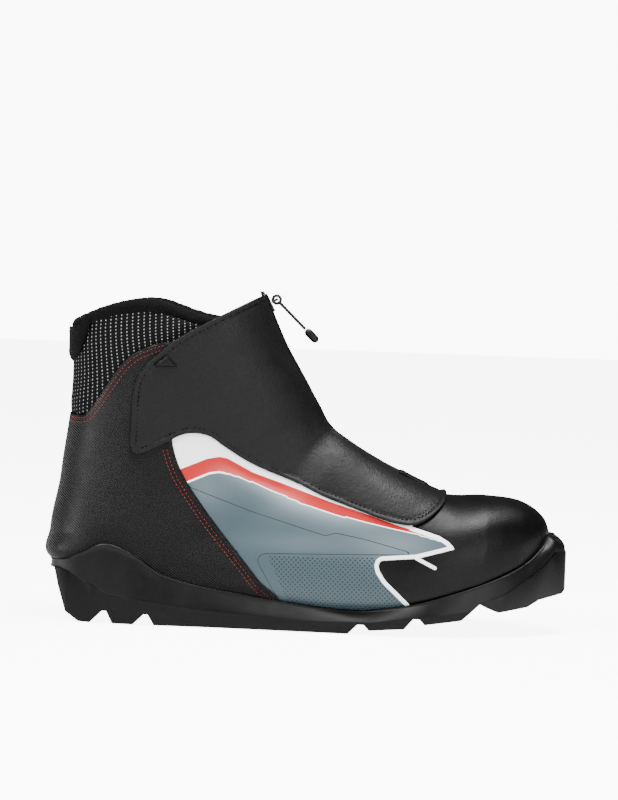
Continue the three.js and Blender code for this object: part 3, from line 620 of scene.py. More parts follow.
def ribbed_cloth():
    """The heel quarter: fine slanted ribs in a coated cloth, with a painted highlight on each rib."""
    finish = Finish("ribbed cloth", (0.001, 0.001, 0.001), 0.38, Specular_IOR_Level=0.16)
    place = finish.object_place()
    slant = finish.dot_product(place, (0.62, 0.0, 0.78))
    rib_and_highlight = finish.sum("MULTIPLY", finish.sum("PINGPONG", finish.sum("DIVIDE", slant, 0.00115), 0.5), 2.0)
    finish.bump(rib_and_highlight, 0.0004)
    # Painted highlight: the rib tops are coloured lighter and the troughs darker.
    finish.colour(finish.mix(rib_and_highlight, (0.0003, 0.0003, 0.0003), (0.0022, 0.0022, 0.0023)))
    finish.vary(place, 70.0, 0.36, 0.48)
    return finish.material


def dotted_knit():
    """The collar: a close knit with columns of small raised dots."""
    finish = Finish("dotted knit", (0.002, 0.002, 0.0022), 0.7, Specular_IOR_Level=0.08)
    column, row = cloth_grid(finish, 0.0033, 0.00165)
    distance = dot_distance(finish, column, row, 0.0033, 0.00165, (0.0,))
    dot = finish.ramp(distance, 0.00025, 0.0005, 1.0, 0.0)
    weave_x, weave_y = cloth_grid(finish, 0.0011, 0.0011)
    weave = finish.sum("ADD", finish.sum("PINGPONG", finish.sum("ADD", weave_x, weave_y), 0.5),
                       finish.sum("PINGPONG", finish.sum("SUBTRACT", weave_x, weave_y), 0.5))
    finish.bump(weave, 0.00022)
    finish.bump(dot, 0.0003)
    finish.colour(finish.mix(dot, (0.0012, 0.0012, 0.0013), (0.22, 0.22, 0.23)))
    return finish.material


def fleece(name, colour):
    finish = Finish(name, colour, 0.95, Sheen_Weight=0.015, Sheen_Roughness=0.5, Specular_IOR_Level=0.08)
    place = finish.object_place()
    fuzz = finish.noise(place, 900.0, 6.0)
    finish.bump(fuzz, 0.0007)
    shade = finish.ramp(fuzz, 0.35, 0.7)
    finish.colour(finish.mix(shade, tuple(0.45 * c for c in colour), tuple(2.1 * c for c in colour)))
    return finish.material


def webbing(name, colour, pitch=0.0009):
    """Plain woven tape, for tapes, loops and the tongue's cover."""
    finish = Finish(name, colour, 0.7, Specular_IOR_Level=0.3)
    place = finish.object_place()
    parts = finish.add("SeparateXYZ", Vector=place)
    wave = finish.sum("ADD", finish.sum("PINGPONG", finish.sum("DIVIDE", parts.outputs[0], pitch), 0.5),
                      finish.sum("PINGPONG", finish.sum("DIVIDE", parts.outputs[2], pitch), 0.5))
    finish.bump(wave, 0.0002)
    return finish.material


WHITE_INK, RED_INK, LINE_INK = (0.93, 0.94, 0.95), (0.36, 0.0006, 0.0008), (0.004, 0.006, 0.007)


def printed_sheet():
    """The side panel: a satin coat printed with zones, a thin line and a field of dots; the grey carries
    painted highlights and a lighter band under the red stripe, and the red turns lighter low in its band.
    """
    finish = Finish("printed coat", (0.2, 0.25, 0.28), 0.42, Specular_IOR_Level=0.35)

    def mask(name, edge):
        return finish.ramp(finish.attribute(name), edge - 0.1, edge + 0.1)

    # Painted highlights: the shade attribute lifts the grey from a dark tone to a lit one in a few spots,
    # and also makes the grey lighter in a band under the red stripe.
    grey = finish.mix(finish.attribute("shade"), (0.030, 0.050, 0.061), (0.25, 0.31, 0.34))
    line = finish.sum("LESS_THAN", finish.sum("ABSOLUTE", finish.attribute("line")), 0.2)
    grey = finish.mix(line, grey, LINE_INK)
    place = finish.add("SeparateXYZ", Vector=finish.object_place())
    column = finish.sum("DIVIDE", place.outputs[0], 0.0027)
    row = finish.sum("DIVIDE", place.outputs[2], 0.0028)
    dot = finish.sum("LESS_THAN", dot_distance(finish, column, row, 0.0027, 0.0028), 0.0005)
    dots = finish.sum("MULTIPLY", dot, finish.sum("GREATER_THAN", finish.attribute("dots"), 0.0))
    print_colour = finish.mix(dots, grey, LINE_INK)
    # The red turns lighter where this attribute rises, low in its band near the middle of the panel.
    red = finish.mix(finish.attribute("red_lighter"), RED_INK, (0.62, 0.20, 0.18))
    print_colour = finish.mix(mask("low", 1.1), WHITE_INK, print_colour)
    print_colour = finish.mix(mask("low", 0.0), red, print_colour)
    print_colour = finish.mix(mask("under", 0.0), WHITE_INK, print_colour)
    print_colour = finish.mix(mask("rim", 0.0), print_colour, WHITE_INK)
    print_colour = finish.mix(mask("hidden", 5.0), print_colour, (0.012, 0.012, 0.013))
    finish.colour(print_colour)
    finish.bump(finish.noise(finish.object_place(), 1400.0, 3.0), 0.00003)
    return finish.material


rib_cloth, knit, print_coat = ribbed_cloth(), dotted_knit(), printed_sheet()
binding_fleece = fleece("binding fleece", (0.0012, 0.0012, 0.0013))
lining_cloth = fleece("lining cloth", (0.03, 0.034, 0.048))
tape_cloth = webbing("zip tape", (0.003, 0.003, 0.0032))
tongue_cloth = webbing("tongue cloth", (0.005, 0.005, 0.0055), 0.0014)
cord_cloth = webbing("braided cord", (0.004, 0.004, 0.004), 0.0007)
print("finishes:", len(bpy.data.materials))

# %% [markdown]
# ## The upper's skins
# The side panels come first, printed with the boot's graphic. Their zones are signed distances to
# drawn lines, stored on the points, so the print stays sharp at any distance.
# The grey of the print also carries painted highlights, stored on the points the same way.

# %% Printed side panels
RED_TOP = [(-110, 77), (-74.9, 89.8), (-59.6, 96.3), (-52.5, 97.7), (-47.8, 96.8), (-33.2, 89.2),
           (-21.1, 85.1), (-4.3, 79.5), (13.8, 73.5), (31.9, 68.2), (49.9, 62.5), (66.8, 58.1), (80, 53.3)]
RED_LOW = [(-110, 69), (-71.1, 82.8), (-58.2, 88.5), (-52.3, 89.5), (-40.2, 85.9), (-25.8, 80.8), (-4, 72.3),
           (15.2, 67.0), (38, 62.2), (60.8, 57.9), (80, 53.2)]
THIN_LINE = [(-120, 97.9), (-68, 79.4), (-33.6, 67.1), (-3.5, 58.6), (9, 55.2), (12, 55.6),
             (14.5, 56.7), (17.5, 56.5), (32.4, 53.9), (56.4, 48.0), (57.9, 47.3), (57.2, 46.4),
             (55.3, 46.1), (-24.4, 43.5), (-27.4, 42.3),
             (-28.6, 40), (-28.2, 37.6), (-16.4, 17.7), (-6, 0), (-6, -60), (-160, -60)]
DOT_FIELD = np.array([(-23, 42.2), (60, 44.5), (60, -10), (4, -10), (-11, 17)], float)
RIM_WIDTH = 2.3
THROAT = 20


def gather(bm, name, values):
    layer = bm.verts.layers.float.new(name)
    for vert, value in zip(bm.verts, values):
        vert[layer] = float(value)


def side_panel(name, side):
    bm = bent_sheet(3.2, 12.2, 190, 130, shares=(-1, 0) if side > 0 else (0, 1))
    cut(bm, behind(TOE_SEAM), ahead(HEEL_SEAM - [2.0, 0]), below(COLLAR_BORDER - [0, 2]))
    trim(bm, lambda x, z, y: np.abs(y) - THROAT)
    x, z, y = side_view(bm.verts)
    top = -inside(above(np.array(RED_TOP)), x, z)
    low = -inside(above(np.array(RED_LOW)), x, z)
    gather(bm, "under", top)
    gather(bm, "low", np.where(low > 0, low + 1.2 * np.clip((x + 52) / 8, 0, 1), low))
    # The red turns lighter low in its band, near the middle of the panel.
    middle = np.exp(-(((x + 28) / 22) ** 2))
    gather(bm, "red_lighter", np.clip((top - 2.2) / 7, 0, 1) * middle)
    tip_rim = RIM_WIDTH - np.abs(inside(behind(TOE_SEAM), x, z))
    gather(bm, "rim", tip_rim)
    gather(bm, "hidden", inside(COVER_OUTLINE, x, z))
    gather(bm, "line", inside(np.array(THIN_LINE), x, z))
    field = inside(DOT_FIELD, x, z)
    gather(bm, "dots", np.minimum(field, -tip_rim - 0.6))
    # The print's brightness, stored as shade: lighter in a band under the red stripe, with painted
    # highlights in three spots on the grey.
    glow = np.exp(-np.clip(low, 0, 99) / 4.5) * np.exp(-((x + 5) / 40) ** 2)
    shade = 0.85 * glow + 0.25 * np.exp(-((x - 50) / 22) ** 2 - ((z - 50) / 9) ** 2)
    shade += 0.16 * np.exp(-((x + 60) / 14) ** 2 - ((z - 78) / 10) ** 2)
    shade += 0.12 * np.exp(-((x + 5) / 30) ** 2 - ((z - 50) / 6) ** 2)
    gather(bm, "shade", np.clip(shade, 0, 1))
    face_out(bm)
    return finish_piece(bm, name, print_coat, replaces=[name], thickness=1.8)


for side_name, side in SIDES.items():
    side_panel(f"side_panel_{side_name}", side)

# %% [markdown]
# The vamp wraps the toes in smooth black leather. It is one sheet closed at the tip, with a skin
# seam where the side panels start.

# %% Vamp and heel quarter
SPUR = [(61.5, 44.6), (72.6, 39.2)]
vamp_leather = leather("vamp leather", (0.0012, 0.0012, 0.0012), 0.34, 0.44, 0.0006, 0.00008)
spur = vamp_leather.ramp(vamp_leather.attribute("spur"), -0.1, 0.1)
vamp_leather.colour(vamp_leather.mix(spur, (0.0012, 0.0012, 0.0012), WHITE_INK))


def vamp():
    bm = bent_sheet(0, 9, 190, 260, seam_at_front=False)
    bmesh.ops.remove_doubles(bm, verts=bm.verts, dist=2e-5)
    tip = [e for e in bm.edges if e.is_boundary and all(v.co.x > 0.13 for v in e.verts)]
    bmesh.ops.holes_fill(bm, edges=tip, sides=0)
    cut(bm, ahead(TOE_SEAM))
    x, z, y = side_view(bm.verts)
    gather(bm, "spur", 1.0 - distance_to(np.array(SPUR, float), x, z))
    face_out(bm)
    return finish_piece(bm, "vamp", vamp_leather.material, replaces=["vamp"], thickness=1.8)


def heel_swell(x, z):
    """How far the heel's foot stands out beyond the form, in millimetres, to meet the rand flush."""
    back = np.clip((-112 - x) / 30, 0, 1)
    low = np.clip((52 - z) / 20, 0, 1)
    return 7.5 * back * low * low * (3 - 2 * low)


def swell_heel(bm):
    for vert in bm.verts:
        x, z = vert.co.x / MM, vert.co.z / MM
        away = Vector((vert.co.x + 0.1, vert.co.y, 0)).normalized()
        vert.co += away * float(heel_swell(x, z)) * MM


def heel_quarter():
    """The ribbed overlay round the heel, with a turned edge lying on the side panels."""
    bm = bent_sheet(5.4, 11.2, 120, 260)
    seam, border = behind(HEEL_SEAM), below(COLLAR_BORDER)
    cut(bm, seam, border)

    def height(verts):
        x, z, _ = side_view(verts)
        edge = inside(seam, x, z)
        bead = 0.75 * np.clip(1 - ((edge - 1.4) / 1.4) ** 2, 0, 1) ** 0.5
        return 0.7 + bead - 0.25 * np.exp(-(((edge - 3.0) / 0.5) ** 2))

    lift(bm, height)
    swell_heel(bm)
    face_out(bm)
    return finish_piece(bm, "heel_quarter", rib_cloth, replaces=["heel_quarter"], thickness=1.6)


vamp()
heel_quarter()

# %% [markdown]
# ## The collar
# A padded collar of dotted knit stands round the ankle. It swells a little between its seams, and
# a fleece roll binds its top edge.

# %% Collar panel


def collar_panel():
    bm = bent_sheet(8.6, 12.6, 110, 260)
    cut(bm, above(COLLAR_BORDER), below(COLLAR_EDGE))
    trim(bm, lambda x, z, y: np.maximum(np.abs(y) - 19.5, -20 - x))

    def height(verts):
        x, z, _ = side_view(verts)
        edge = np.minimum(inside(above(COLLAR_BORDER), x, z), inside(below(COLLAR_EDGE), x, z))
        open_to_view = np.clip(-inside(COVER_OUTLINE, x, z) / 4, 0, 1)
        return -0.3 + 1.5 * open_to_view * np.clip(edge / 8, 0, 1) ** 0.6

    lift(bm, height)
    face_out(bm)
    piece = finish_piece(bm, "collar_panel", knit, thickness=6,
                         replaces=["collar_panel", "collar_padding"])


collar_panel()

# %% [markdown]
# The roll follows the collar's edge. Its path is found where the form crosses a line in the side
# view, walking from the throat on one side, round the back, to the throat on the other.

# %% Rolls along the collar


def path_on_line(line, turns, height=0.0, rows=(8.0, 13.0)):
    """Points where the form, at a height, crosses a line in the side view."""
    samples = np.linspace(*rows, 400)
    path = []
    for turn in turns:
        points = form(samples, turn, height)
        level = np.interp(points[:, 0] / MM, line[:, 0], line[:, 1]) * MM
        gap = points[:, 2] - level
        crossing = np.flatnonzero(np.sign(gap[:-1]) != np.sign(gap[1:]))
        i = crossing[0] if len(crossing) else int(np.argmin(np.abs(gap)))
        j = min(i + 1, len(samples) - 1)
        share = 0 if gap[i] == gap[j] else gap[i] / (gap[i] - gap[j])
        path.append(Vector(points[i] + (points[j] - points[i]) * min(max(share, 0), 1)))
    return path


def evened(path, count):
    walk = np.concatenate([[0], np.cumsum([(b - a).length for a, b in zip(path[:-1], path[1:])])])
    places = np.linspace(0, walk[-1], count)
    table = np.array(path)
    return [Vector([np.interp(p, walk, table[:, k]) for k in range(3)]) for p in places]


BINDING_MIDDLE = smooth([(-160, 157), (-141, 167.5), (-127, 174.5), (-113, 179.8), (-100, 182.4),
                         (-89, 181.8), (-76, 177.5), (-62, 173.8), (-45, 172.6), (-20, 173.5)], 60)
ROLL_SIDES = 14
ROLL_HALF = (0.0052, 0.0042)
ROLL_STEPS = 120
FUZZ = 0.0005


def binding_path():
    """The middle of the roll. It sinks further into the collar towards the throat."""
    around = np.linspace(-math.pi + 0.50, math.pi - 0.50, 160)
    outer = path_on_line(BINDING_MIDDLE, around, -3.0)
    inner = path_on_line(BINDING_MIDDLE, around, -6.5)
    path = [a.lerp(b, min(max((a.x / MM + 92) / 12, 0), 1)) for a, b in zip(outer, inner)]
    return evened(path, ROLL_STEPS)


def collar_binding():
    """Sweeps an oval section along the path, with tapered ends that are closed."""
    path = binding_path()
    last = len(path) - 1
    rings = []
    for i, point in enumerate(path):
        onward = (path[min(i + 1, last)] - path[max(i - 1, 0)]).normalized()
        across = onward.cross(Vector((0, 0, 1))).normalized()
        tall = across.cross(onward).normalized()
        share = min(i, last - i) / 3
        size = min(1, math.sqrt(max(share * (2 - share), 0.04))) if share < 1 else 1
        ring = []
        for k in range(ROLL_SIDES + 1):
            turn = 2 * math.pi * (k % ROLL_SIDES) / ROLL_SIDES
            ring.append(point + across * (-math.sin(turn) * ROLL_HALF[0] * size)
                        + tall * (math.cos(turn) * ROLL_HALF[1] * size))
        rings.append(ring)
    bm = laid_grid(rings)
    bmesh.ops.holes_fill(bm, edges=[e for e in bm.edges if e.is_boundary], sides=0)
    bmesh.ops.recalc_face_normals(bm, faces=bm.faces)
    bmesh.ops.subdivide_edges(bm, edges=bm.edges, cuts=1, use_grid_fill=True, smooth=0.6)
    bm.normal_update()
    for vert in bm.verts:
        vert.co += vert.normal * FUZZ * (noise.noise(vert.co * 420) + 0.5 * noise.noise(vert.co * 1100))
    piece = finish_piece(bm, "collar_binding", binding_fleece, replaces=["collar_binding"])


collar_binding()

# %% [markdown]
# A fleece cap protects the top of the heel, where the hand pulls the boot on.

# %% Heel cap
CAP = np.array([(-220, 149), (-140, 149.6), (-133.6, 155.6), (-128.3, 172.9), (-128, 240),
                (-220, 240)], float)


def heel_cap():
    bm = bent_sheet(9.5, 12.4, 90, 300)
    cut(bm, CAP, below(COLLAR_EDGE + [0, 2.0]))

    def height(verts):
        x, z, _ = side_view(verts)
        edge = inside(CAP, x, z)
        fuzz = np.array([noise.noise(v.co * 500) for v in verts])
        return 0.5 + 1.5 * np.clip(edge / 3, 0, 1) ** 0.5 + 0.35 * fuzz

    lift(bm, height)
    face_out(bm)
    piece = finish_piece(bm, "heel_cap", binding_fleece, replaces=["heel_cap"], thickness=2)


heel_cap()

# %% [markdown]
# The lining and the tongue fill the throat. They are seen from above, and when the cover opens.

# %% Lining and tongue


def lining():
    bm = bent_sheet(1.6, 12.7, 90, 130)
    cut(bm, below(BINDING_MIDDLE))
    trim(bm, lambda x, z, y: np.maximum(np.abs(y) - 28, 45 - z))
    lift(bm, lambda verts: np.full(len(verts), -5.4))
    face_out(bm)
    piece = finish_piece(bm, "lining", lining_cloth, replaces=["lining"], thickness=2.8)


def tongue():
    bm = bent_sheet(4.7, 12.9, 110, 60, seam_at_front=False, shares=(-0.36, 0.36))

    def height(verts):
        y = np.array([v.co.y for v in verts]) / MM
        return -10.2 + 1.0 * np.clip((24 - np.abs(y)) / 8, 0, 1) ** 0.6

    trim(bm, lambda x, z, y: 24 - np.abs(y))
    trim(bm, lambda x, z, y: 181 - z)
    lift(bm, height)
    face_out(bm)
    piece = finish_piece(bm, "tongue", tongue_cloth, replaces=["tongue"], thickness=3.4)


lining()
tongue()

# %% [markdown]
# ## The zip cover
# One panel of grained leather on each side covers the lacing. Its turned edge stands up in a
# narrow bead with a row of stitches inside. The panel bends where the opened flap folds, so it
# blends from the boot to the flap's body across the fold line.

# %% Cover
COVER_TOP = 2.1
FOLD_POINT = Vector((6.56, 5.0, 124.33)) * MM
FOLD_ACROSS = Vector((0.18, -0.52, 0.83))
SLOT = 5.2


def slot_half(row):
    """Half the zip's opening: closed ahead of the zip, open along it."""
    share = np.clip((np.asarray(row) - 4.45) / 0.35, 0, 1)
    return 0.15 + (SLOT - 0.15) * share * share * (3 - 2 * share)


def cover_height(x, z, y, row):
    edge = inside(COVER_OUTLINE, x, z)
    zip_edge = np.where(row > 4.5, np.abs(y) - slot_half(row), 50)
    near = np.minimum(edge, np.where(zip_edge < 0.2, 0.2, zip_edge))
    bead = 0.8 * np.clip(1 - ((near - 1.2) / 1.3) ** 2, 0, 1) ** 0.5
    groove = -0.6 * np.exp(-(((near - 3.1) / 0.6) ** 2))
    puff = 0.5 * np.clip((near - 3) / 12, 0, 1)
    return COVER_TOP - 0.5 + bead + groove + puff


def fold_line(side):
    """A point on a side's fold line and the way across it, onto the flap."""
    point = Vector((FOLD_POINT.x, side * FOLD_POINT.y, FOLD_POINT.z))
    return point, Vector((FOLD_ACROSS.x, side * FOLD_ACROSS.y, FOLD_ACROSS.z)).normalized()


def follow_flap(piece, side_name, side):
    """Blends a piece from the boot to the flap's body across the fold line."""
    point, across = fold_line(side)
    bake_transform(piece, "boot", f"{side_name}_flap", point - across * 6 * MM, point + across * 12 * MM)


def cover(side_name, side):
    bm = bent_sheet(3.6, LAST_ROW, 190, 110, shares=(-1, -0.1) if side > 0 else (0.1, 1))
    levels = bm.verts.layers.float["row"]
    cut(bm, COVER_OUTLINE)
    trim(bm, lambda x, z, y: side * y - slot_half(np.array([v[levels] for v in bm.verts])))

    def height(verts):
        x, z, y = side_view(verts)
        slack = np.array([noise.noise(v.co * 28) + 0.4 * noise.noise(v.co * 75) for v in verts])
        return cover_height(x, z, y, np.array([v[levels] for v in verts])) + 0.35 * slack

    lift(bm, height)
    face_out(bm)
    piece = finish_piece(bm, f"cover_{side_name}", grain_leather.material, body=None,
                         replaces=[f"cover_side_{side_name}", f"cover_flap_{side_name}"], thickness=1.6)
    follow_flap(piece, side_name, side)


for side_name, side in SIDES.items():
    cover(side_name, side)

# %% [markdown]
# Small leather patches finish the cover: a stitched triangle at each rear corner and a cap over
# the end of the zip.

# %% Patches
TRIANGLE = np.array([(-84.3, 154.8), (-92.2, 148.5), (-77.6, 148.5)], float)
ZIP_PATCH = np.array([(50, 60), (68, 60), (70, 120), (52, 120)], float)


def cover_tack(side_name, side):
    bm = bent_sheet(8.8, 11, 60, 80, shares=(-0.8, -0.1) if side > 0 else (0.1, 0.8))
    cut(bm, TRIANGLE)

    def height(verts):
        x, z, _ = side_view(verts)
        edge = inside(TRIANGLE, x, z)
        return 2.6 + 0.9 * np.clip(edge / 0.9, 0, 1) ** 0.5

    lift(bm, height)
    face_out(bm)
    name = f"cover_tack_{side_name}"
    finish_piece(bm, name, edge_leather.material, replaces=[name], thickness=0.9)


for side_name, side in SIDES.items():
    cover_tack(side_name, side)


def zip_end_patch():
    bm = bent_sheet(3.9, 5.2, 40, 40, seam_at_front=False, shares=(-0.12, 0.12))
    cut(bm, ZIP_PATCH)
    trim(bm, lambda x, z, y: 9 - np.abs(y))

    def height(verts):
        x, z, y = side_view(verts)
        edge = np.minimum(inside(ZIP_PATCH, x, z), 9.2 - np.abs(y))
        return 2.0 + 0.9 * np.clip(edge / 1.6, 0, 1) ** 0.6

    lift(bm, height)
    face_out(bm)
    finish_piece(bm, "zip_end_patch", edge_leather.material,
                 replaces=["zip_end_patch"], thickness=1.0)


zip_end_patch()

# %% [markdown]
# ## The zip
# Two woven tapes carry two rows of moulded teeth that mesh down the middle. The teeth below the
# fold stay with the boot and the teeth above it go with the flaps.

# %% Zip tapes and teeth
ZIP_ROWS = (4.62, 11.85)
TEETH_ROWS = (4.85, 11.6)
TOOTH_PITCH = 0.0025
TOOTH = (1.25 * MM, 2.3 * MM, 1.9 * MM)


def fold_side(point, side):
    """Distance past a flap's fold line: positive on the flap."""
    corner, across = fold_line(side)
    return (Vector(point) - corner).dot(across)


def zip_tape(side_name, side, part, body):
    shares = (0.0, 0.075) if side > 0 else (-0.075, 0.0)
    bm = bent_sheet(*ZIP_ROWS, 170, 8, seam_at_front=False, shares=shares)
    trim(bm, lambda x, z, y: side * y - 2.2)
    trim(bm, lambda x, z, y: 8.0 - side * y)
    way = 1 if part == "upper" else -1
    trim(bm, lambda x, z, y: np.array([fold_side(v.co, side) / MM for v in bm.verts]) * way - 0.6)
    lift(bm, lambda verts: np.full(len(verts), -0.2))
    face_out(bm)
    name = f"zip_tape_{part}_{side_name}"
    finish_piece(bm, name, tape_cloth, body=body, replaces=[name], thickness=0.8)


def zip_teeth(side_name, side, part, body):
    rows, walk = even_rows(*TEETH_ROWS, 400, FRONT)
    count = int(walk[-1] / TOOTH_PITCH)
    bm = bmesh.new()
    for i in range(count):
        place = (i + (0.5 if side > 0 else 0)) * TOOTH_PITCH
        row = np.interp(place, walk, rows)
        middle = Vector(form(row, FRONT, 0.0))
        onward = (Vector(form(row + 0.02, FRONT, 0.0)) - middle).normalized()
        out = Vector((0, 1, 0)).cross(onward).normalized()
        out = out if out.x > 0 or out.z > 0 else -out
        past = fold_side(middle + Vector((0, side * 1.5 * MM, 0)), side)
        if (part == "upper") != (past > 0) or abs(past) < 0.4 * MM:
            continue
        turn = Matrix((onward, Vector((0, 1, 0)), out)).transposed().to_4x4()
        lean = Matrix.Translation(middle + Vector((0, side * 1.35 * MM, 0)) + out * 0.1 * MM)
        shape = lean @ turn @ Matrix.Diagonal((*TOOTH, 1))
        bmesh.ops.create_cube(bm, size=1, matrix=shape)
    bmesh.ops.bevel(bm, geom=list(bm.edges), offset=0.25 * MM, segments=1, profile=0.5,
                    affect="EDGES", material=-1)
    name = f"zip_teeth_{part}_{side_name}"
    finish_piece(bm, name, coil, body=body, replaces=[name], smooth_shade=False)


for side_name, side in SIDES.items():
    for part, body in (("lower", "boot"), ("upper", f"{side_name}_flap")):
        zip_tape(side_name, side, part, body)
        zip_teeth(side_name, side, part, body)

# %% [markdown]
# ## Moulded parts from the frame
# Some parts are already the right shape in the CAD. A merged copy of each gets rounded edges.

# %% Rounded copies


BEVEL_ANGLE = math.radians(28)
CREASE_ANGLE = math.radians(38)


def rounded(node_name, material, body, edge=0.3, segments=2):
    """A copy of a CAD node, merged, with a bevel on every sharp edge."""
    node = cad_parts[node_name]
    bm = bmesh.new()
    bm.from_mesh(node.data)
    bm.transform(node.matrix_world)
    bmesh.ops.remove_doubles(bm, verts=bm.verts, dist=2e-6)
    bmesh.ops.dissolve_limit(bm, angle_limit=math.radians(1.5), verts=bm.verts, edges=bm.edges)
    sharp = [e for e in bm.edges if e.is_manifold and e.calc_face_angle() > BEVEL_ANGLE]
    if edge and sharp:
        bmesh.ops.bevel(bm, geom=sharp, offset=edge * MM, segments=segments, profile=0.5, affect="EDGES",
                        clamp_overlap=True, material=-1)
    bmesh.ops.recalc_face_normals(bm, faces=bm.faces)
    for e in bm.edges:
        e.smooth = not (e.is_manifold and e.calc_face_angle() > CREASE_ANGLE)
    return finish_piece(bm, node_name, material, body=body, replaces=[node_name])


for side_name in SIDES:
    rounded(f"zip_top_stop_{side_name}", dark_metal, f"{side_name}_flap", edge=0.15)
    rounded(f"eyestay_{side_name}", tongue_cloth, "boot", edge=0.3)
    for i in range(1, 5):
        rounded(f"lace_loop_{side_name}_{i}", tape_cloth, "boot", edge=0.1)
rounded("zip_bottom_stop", dark_metal, "boot", edge=0.15)
rounded("lace", cord_cloth, "boot", edge=0)
rounded("footbed", lining_cloth, "boot", edge=0.8)
rounded("slider_body", dark_metal, "slider", edge=0.3, segments=3)
rounded("slider_bridge", dark_metal, "slider", edge=0.25)
rounded("pull_cord", cord_cloth, "pull", edge=0)
rounded("pull_grip", moulded, "pull", edge=0.8, segments=3)
rounded("binding_bar", bright_steel, "boot", edge=0.2)

# %% [markdown]
# ## The sole
# The rand is the smooth rubber wall between the tread and the upper. Its foot follows the sole's
# outline and its top leans in to grip the upper with a thin lip, so each upright strip of it is
# drawn between the two and the strips are joined all the way round.

# %% Rand
PLAN = np.array([(-150, 0), (-146, 17), (-120, 36.5), (-60, 38.5), (-20, 39), (40, 46.5), (85, 51),
                 (112, 46.3), (132, 34), (146, 19), (150, 12), (150, -10), (146, -14.5), (130, -29),
                 (110, -42), (80, -50.5),
                 (50, -50.3), (0, -45.5), (-50, -40.5), (-120, -36.5), (-146, -17), (-150, 0)], float)
RAND_TOP = smooth([(-220, 30), (-148, 34), (-133, 39), (-117.7, 45.9), (-100, 39.8), (-80, 28),
                   (-43, 20.4), (17, 13), (45, 14.7), (79, 23), (120.6, 38), (139, 51), (143.5, 57)], 120)
PARTING = np.array([(-220, 31.5), (-144.3, 29.9), (-134.3, 27.2), (-123.9, 21.6), (-113.6, 16.9),
                    (-63, 10.2), (-3, 6.6), (36, 7.2), (63, 10.9), (94, 15.1), (98.9, 19.5),
                    (112.9, 24.5), (134.1, 38.3), (144, 48.2), (220, 46)], float)
RAND_STEPS = np.array([0, 0.03, 0.1, 0.22, 0.36, 0.5, 0.64, 0.76, 0.85, 0.9, 0.92, 0.94, 0.96, 0.98, 1.0])


OUTLINE_STEPS = 1200
STRIPS = 420


def rand_plan():
    """Places evenly round the sole's outline, and the way out at each."""
    turns = len(PLAN) - 1
    outline = smooth(np.vstack([PLAN, PLAN[1:2]]), OUTLINE_STEPS)[: OUTLINE_STEPS * turns // (turns + 1)]
    walk = np.concatenate([[0], np.cumsum(np.linalg.norm(np.diff(outline, axis=0), axis=1))])
    places = np.linspace(0, walk[-1], STRIPS, endpoint=False)
    plan = np.stack([np.interp(places, walk, outline[:, k]) for k in (0, 1)], 1)
    onward = np.roll(plan, -1, 0) - np.roll(plan, 1, 0)
    onward /= np.linalg.norm(onward, axis=1)[:, None]
    out = np.stack([-onward[:, 1], onward[:, 0]], 1)
    if (out * plan).sum() < 0:
        out = -out
    return plan, out


def lean_in(plan, out, high):
    """How far the upper lies inside the outline at the rand's top, smoothed along the rand."""
    reach = []
    for (px, py), (nx, ny), z in zip(plan, out, high):
        way = Vector((nx, ny, 0))
        start = Vector((px, py, z)) * MM + way * 30 * MM
        hit = FORM_TREE.ray_cast(start, -way, 0.09)[0]
        gap = 30 - (start - hit).length / MM + float(heel_swell(hit.x / MM, z)) if hit else -9
        reach.append(gap)
    return np.convolve(np.concatenate([reach[-6:], reach, reach[:6]]), np.ones(13) / 13, "valid")


def rand():
    plan, out = rand_plan()
    low = np.interp(plan[:, 0], PARTING[:, 0], PARTING[:, 1]) - 0.6
    high = np.interp(plan[:, 0], RAND_TOP[:, 0], RAND_TOP[:, 1])
    high = np.maximum(np.where(plan[:, 0] > 143, 57, high), low + 3)
    strips = []
    for (px, py), (nx, ny), z0, z1, inward in zip(plan, out, low, high, lean_in(plan, out, high)):
        strip = []
        way = Vector((nx, ny, 0))
        bulge = 1.3 + 2.2 * min(max((px - 128) / 14, 0), 1)
        for share in RAND_STEPS:
            z = z0 + (z1 - z0) * share
            lip = 0.7 * math.exp(-(((share - 0.955) / 0.03) ** 2))
            wall = -0.7 + (inward + 1.9) * share**bulge + lip
            strip.append((Vector((px, py, z)) * MM) + way * wall * MM)
        inner = [strip[-1] - way * 3 * MM + Vector((0, 0, -0.6 * MM)), strip[0] - way * 8 * MM]
        strips.append(strip + inner + strip[:1])
    bm = laid_grid(strips + strips[:1])
    bmesh.ops.recalc_face_normals(bm, faces=bm.faces)
    finish_piece(bm, "sole_rand", rubber, replaces=["sole_rand"])


rand()
rounded("outsole", tread_rubber, "boot", edge=0.6, segments=2)
rounded("toe_block", moulded, "boot", edge=1.0, segments=3)

# %% [markdown]
# ## Stitching
# A stitch is a tiny stretched ball. Rows of them follow lines in the side view, dropped onto the
# surface a little proud of it.

# %% Stitches


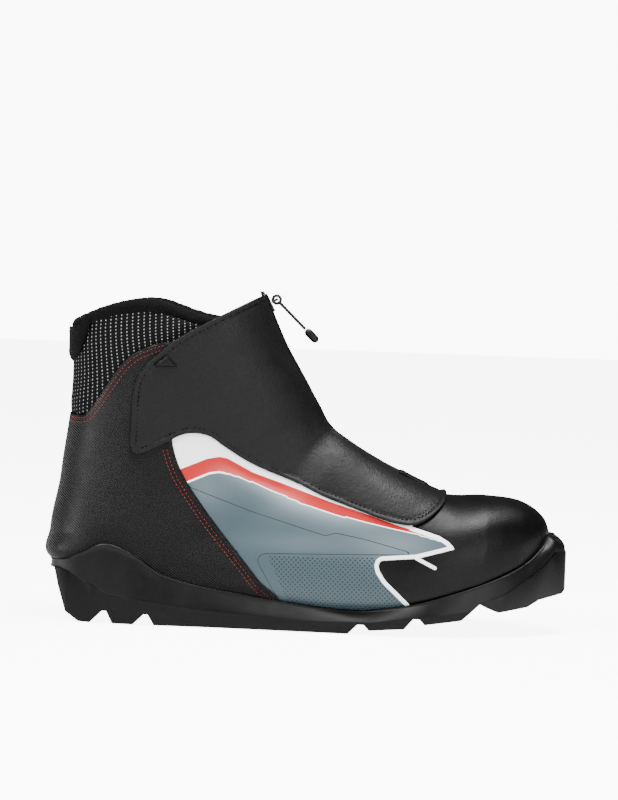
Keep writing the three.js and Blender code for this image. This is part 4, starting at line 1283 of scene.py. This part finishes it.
def row_points(line, pitch, side, height, offset=0.0):
    """Places evenly along a side-view line, on the boot's side: (place, direction, outward)."""
    line = np.asarray(line, float)
    if offset:
        step = np.gradient(line, axis=0)
        step /= np.maximum(np.linalg.norm(step, axis=1), 1e-9)[:, None]
        line = line + np.stack([-step[:, 1], step[:, 0]], 1) * offset
    path = []
    for x, z in line:
        place, normal = on_form(x, z, side)
        path.append((place, normal))
    walk = np.concatenate([[0], np.cumsum([(b[0] - a[0]).length for a, b in zip(path[:-1], path[1:])])])
    count = max(int(walk[-1] / (pitch * MM)), 1)
    spots = []
    for place in np.linspace(0, walk[-1], count):
        i = min(int(np.searchsorted(walk, place, side="right")) - 1, len(path) - 2)
        share = (place - walk[i]) / max(walk[i + 1] - walk[i], 1e-9)
        middle = path[i][0].lerp(path[i + 1][0], share)
        normal = path[i][1].lerp(path[i + 1][1], share).normalized()
        spots.append((middle + normal * height * MM, (path[i + 1][0] - path[i][0]).normalized(), normal))
    return spots


def stitches(name, spots, material, body="boot", size=(0.95, 0.32, 0.22)):
    bm = bmesh.new()
    for place, onward, normal in spots:
        across = normal.cross(onward).normalized()
        turn = Matrix((onward, across, normal)).transposed().to_4x4()
        shape = Matrix.Translation(place) @ turn @ Matrix.Diagonal((*(v * MM for v in size), 1))
        bmesh.ops.create_icosphere(bm, subdivisions=1, radius=1, matrix=shape)
    return finish_piece(bm, name, material, body=body)


def resampled(line, count):
    return np.array(evened([Vector((x, z, 0)) for x, z in line], count))[:, :2]


for side_name, side in SIDES.items():
    seam = resampled(HEEL_SEAM[(HEEL_SEAM[:, 1] > 14) & (HEEL_SEAM[:, 1] < 103)], 90)
    spots = []
    for offset in (3.7, 5.9):
        spots += row_points(seam, 2.2, side, 0.75, offset)
    stitches(f"quarter_stitching_{side_name}", spots, red_thread, size=(0.85, 0.24, 0.2))
    border = resampled(COLLAR_BORDER[(COLLAR_BORDER[:, 0] > -140) & (COLLAR_BORDER[:, 0] < -82)], 80)
    border = border[inside(COVER_OUTLINE, border[:, 0], border[:, 1]) < -3]
    spots = []
    for offset in (-2.0, -4.4):
        spots += row_points(border, 2.2, side, 0.75, offset)
    stitches(f"collar_stitching_{side_name}", spots, red_thread, size=(0.85, 0.24, 0.2))
    edge = resampled(np.vstack([COVER_BACK[4:], COVER_LOW[:-2]]), 260)
    spots = row_points(edge, 2.5, side, COVER_TOP - 0.9, 3.1)
    row = stitches(f"cover_stitching_{side_name}", spots, black_thread_and_shade, None, (0.95, 0.4, 0.3))
    follow_flap(row, side_name, side)

# %% [markdown]
# ## Hidden parts
# The boards, stiffeners and shank keep their CAD solids. They still get a real finish each.

# %% Finishes for the solids that stay
HIDDEN = {"insole_board": board, "shank": bright_steel, "heel_counter": board, "toe_puff": board}
for name, material in HIDDEN.items():
    for material_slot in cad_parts[name].material_slots:
        material_slot.material = material
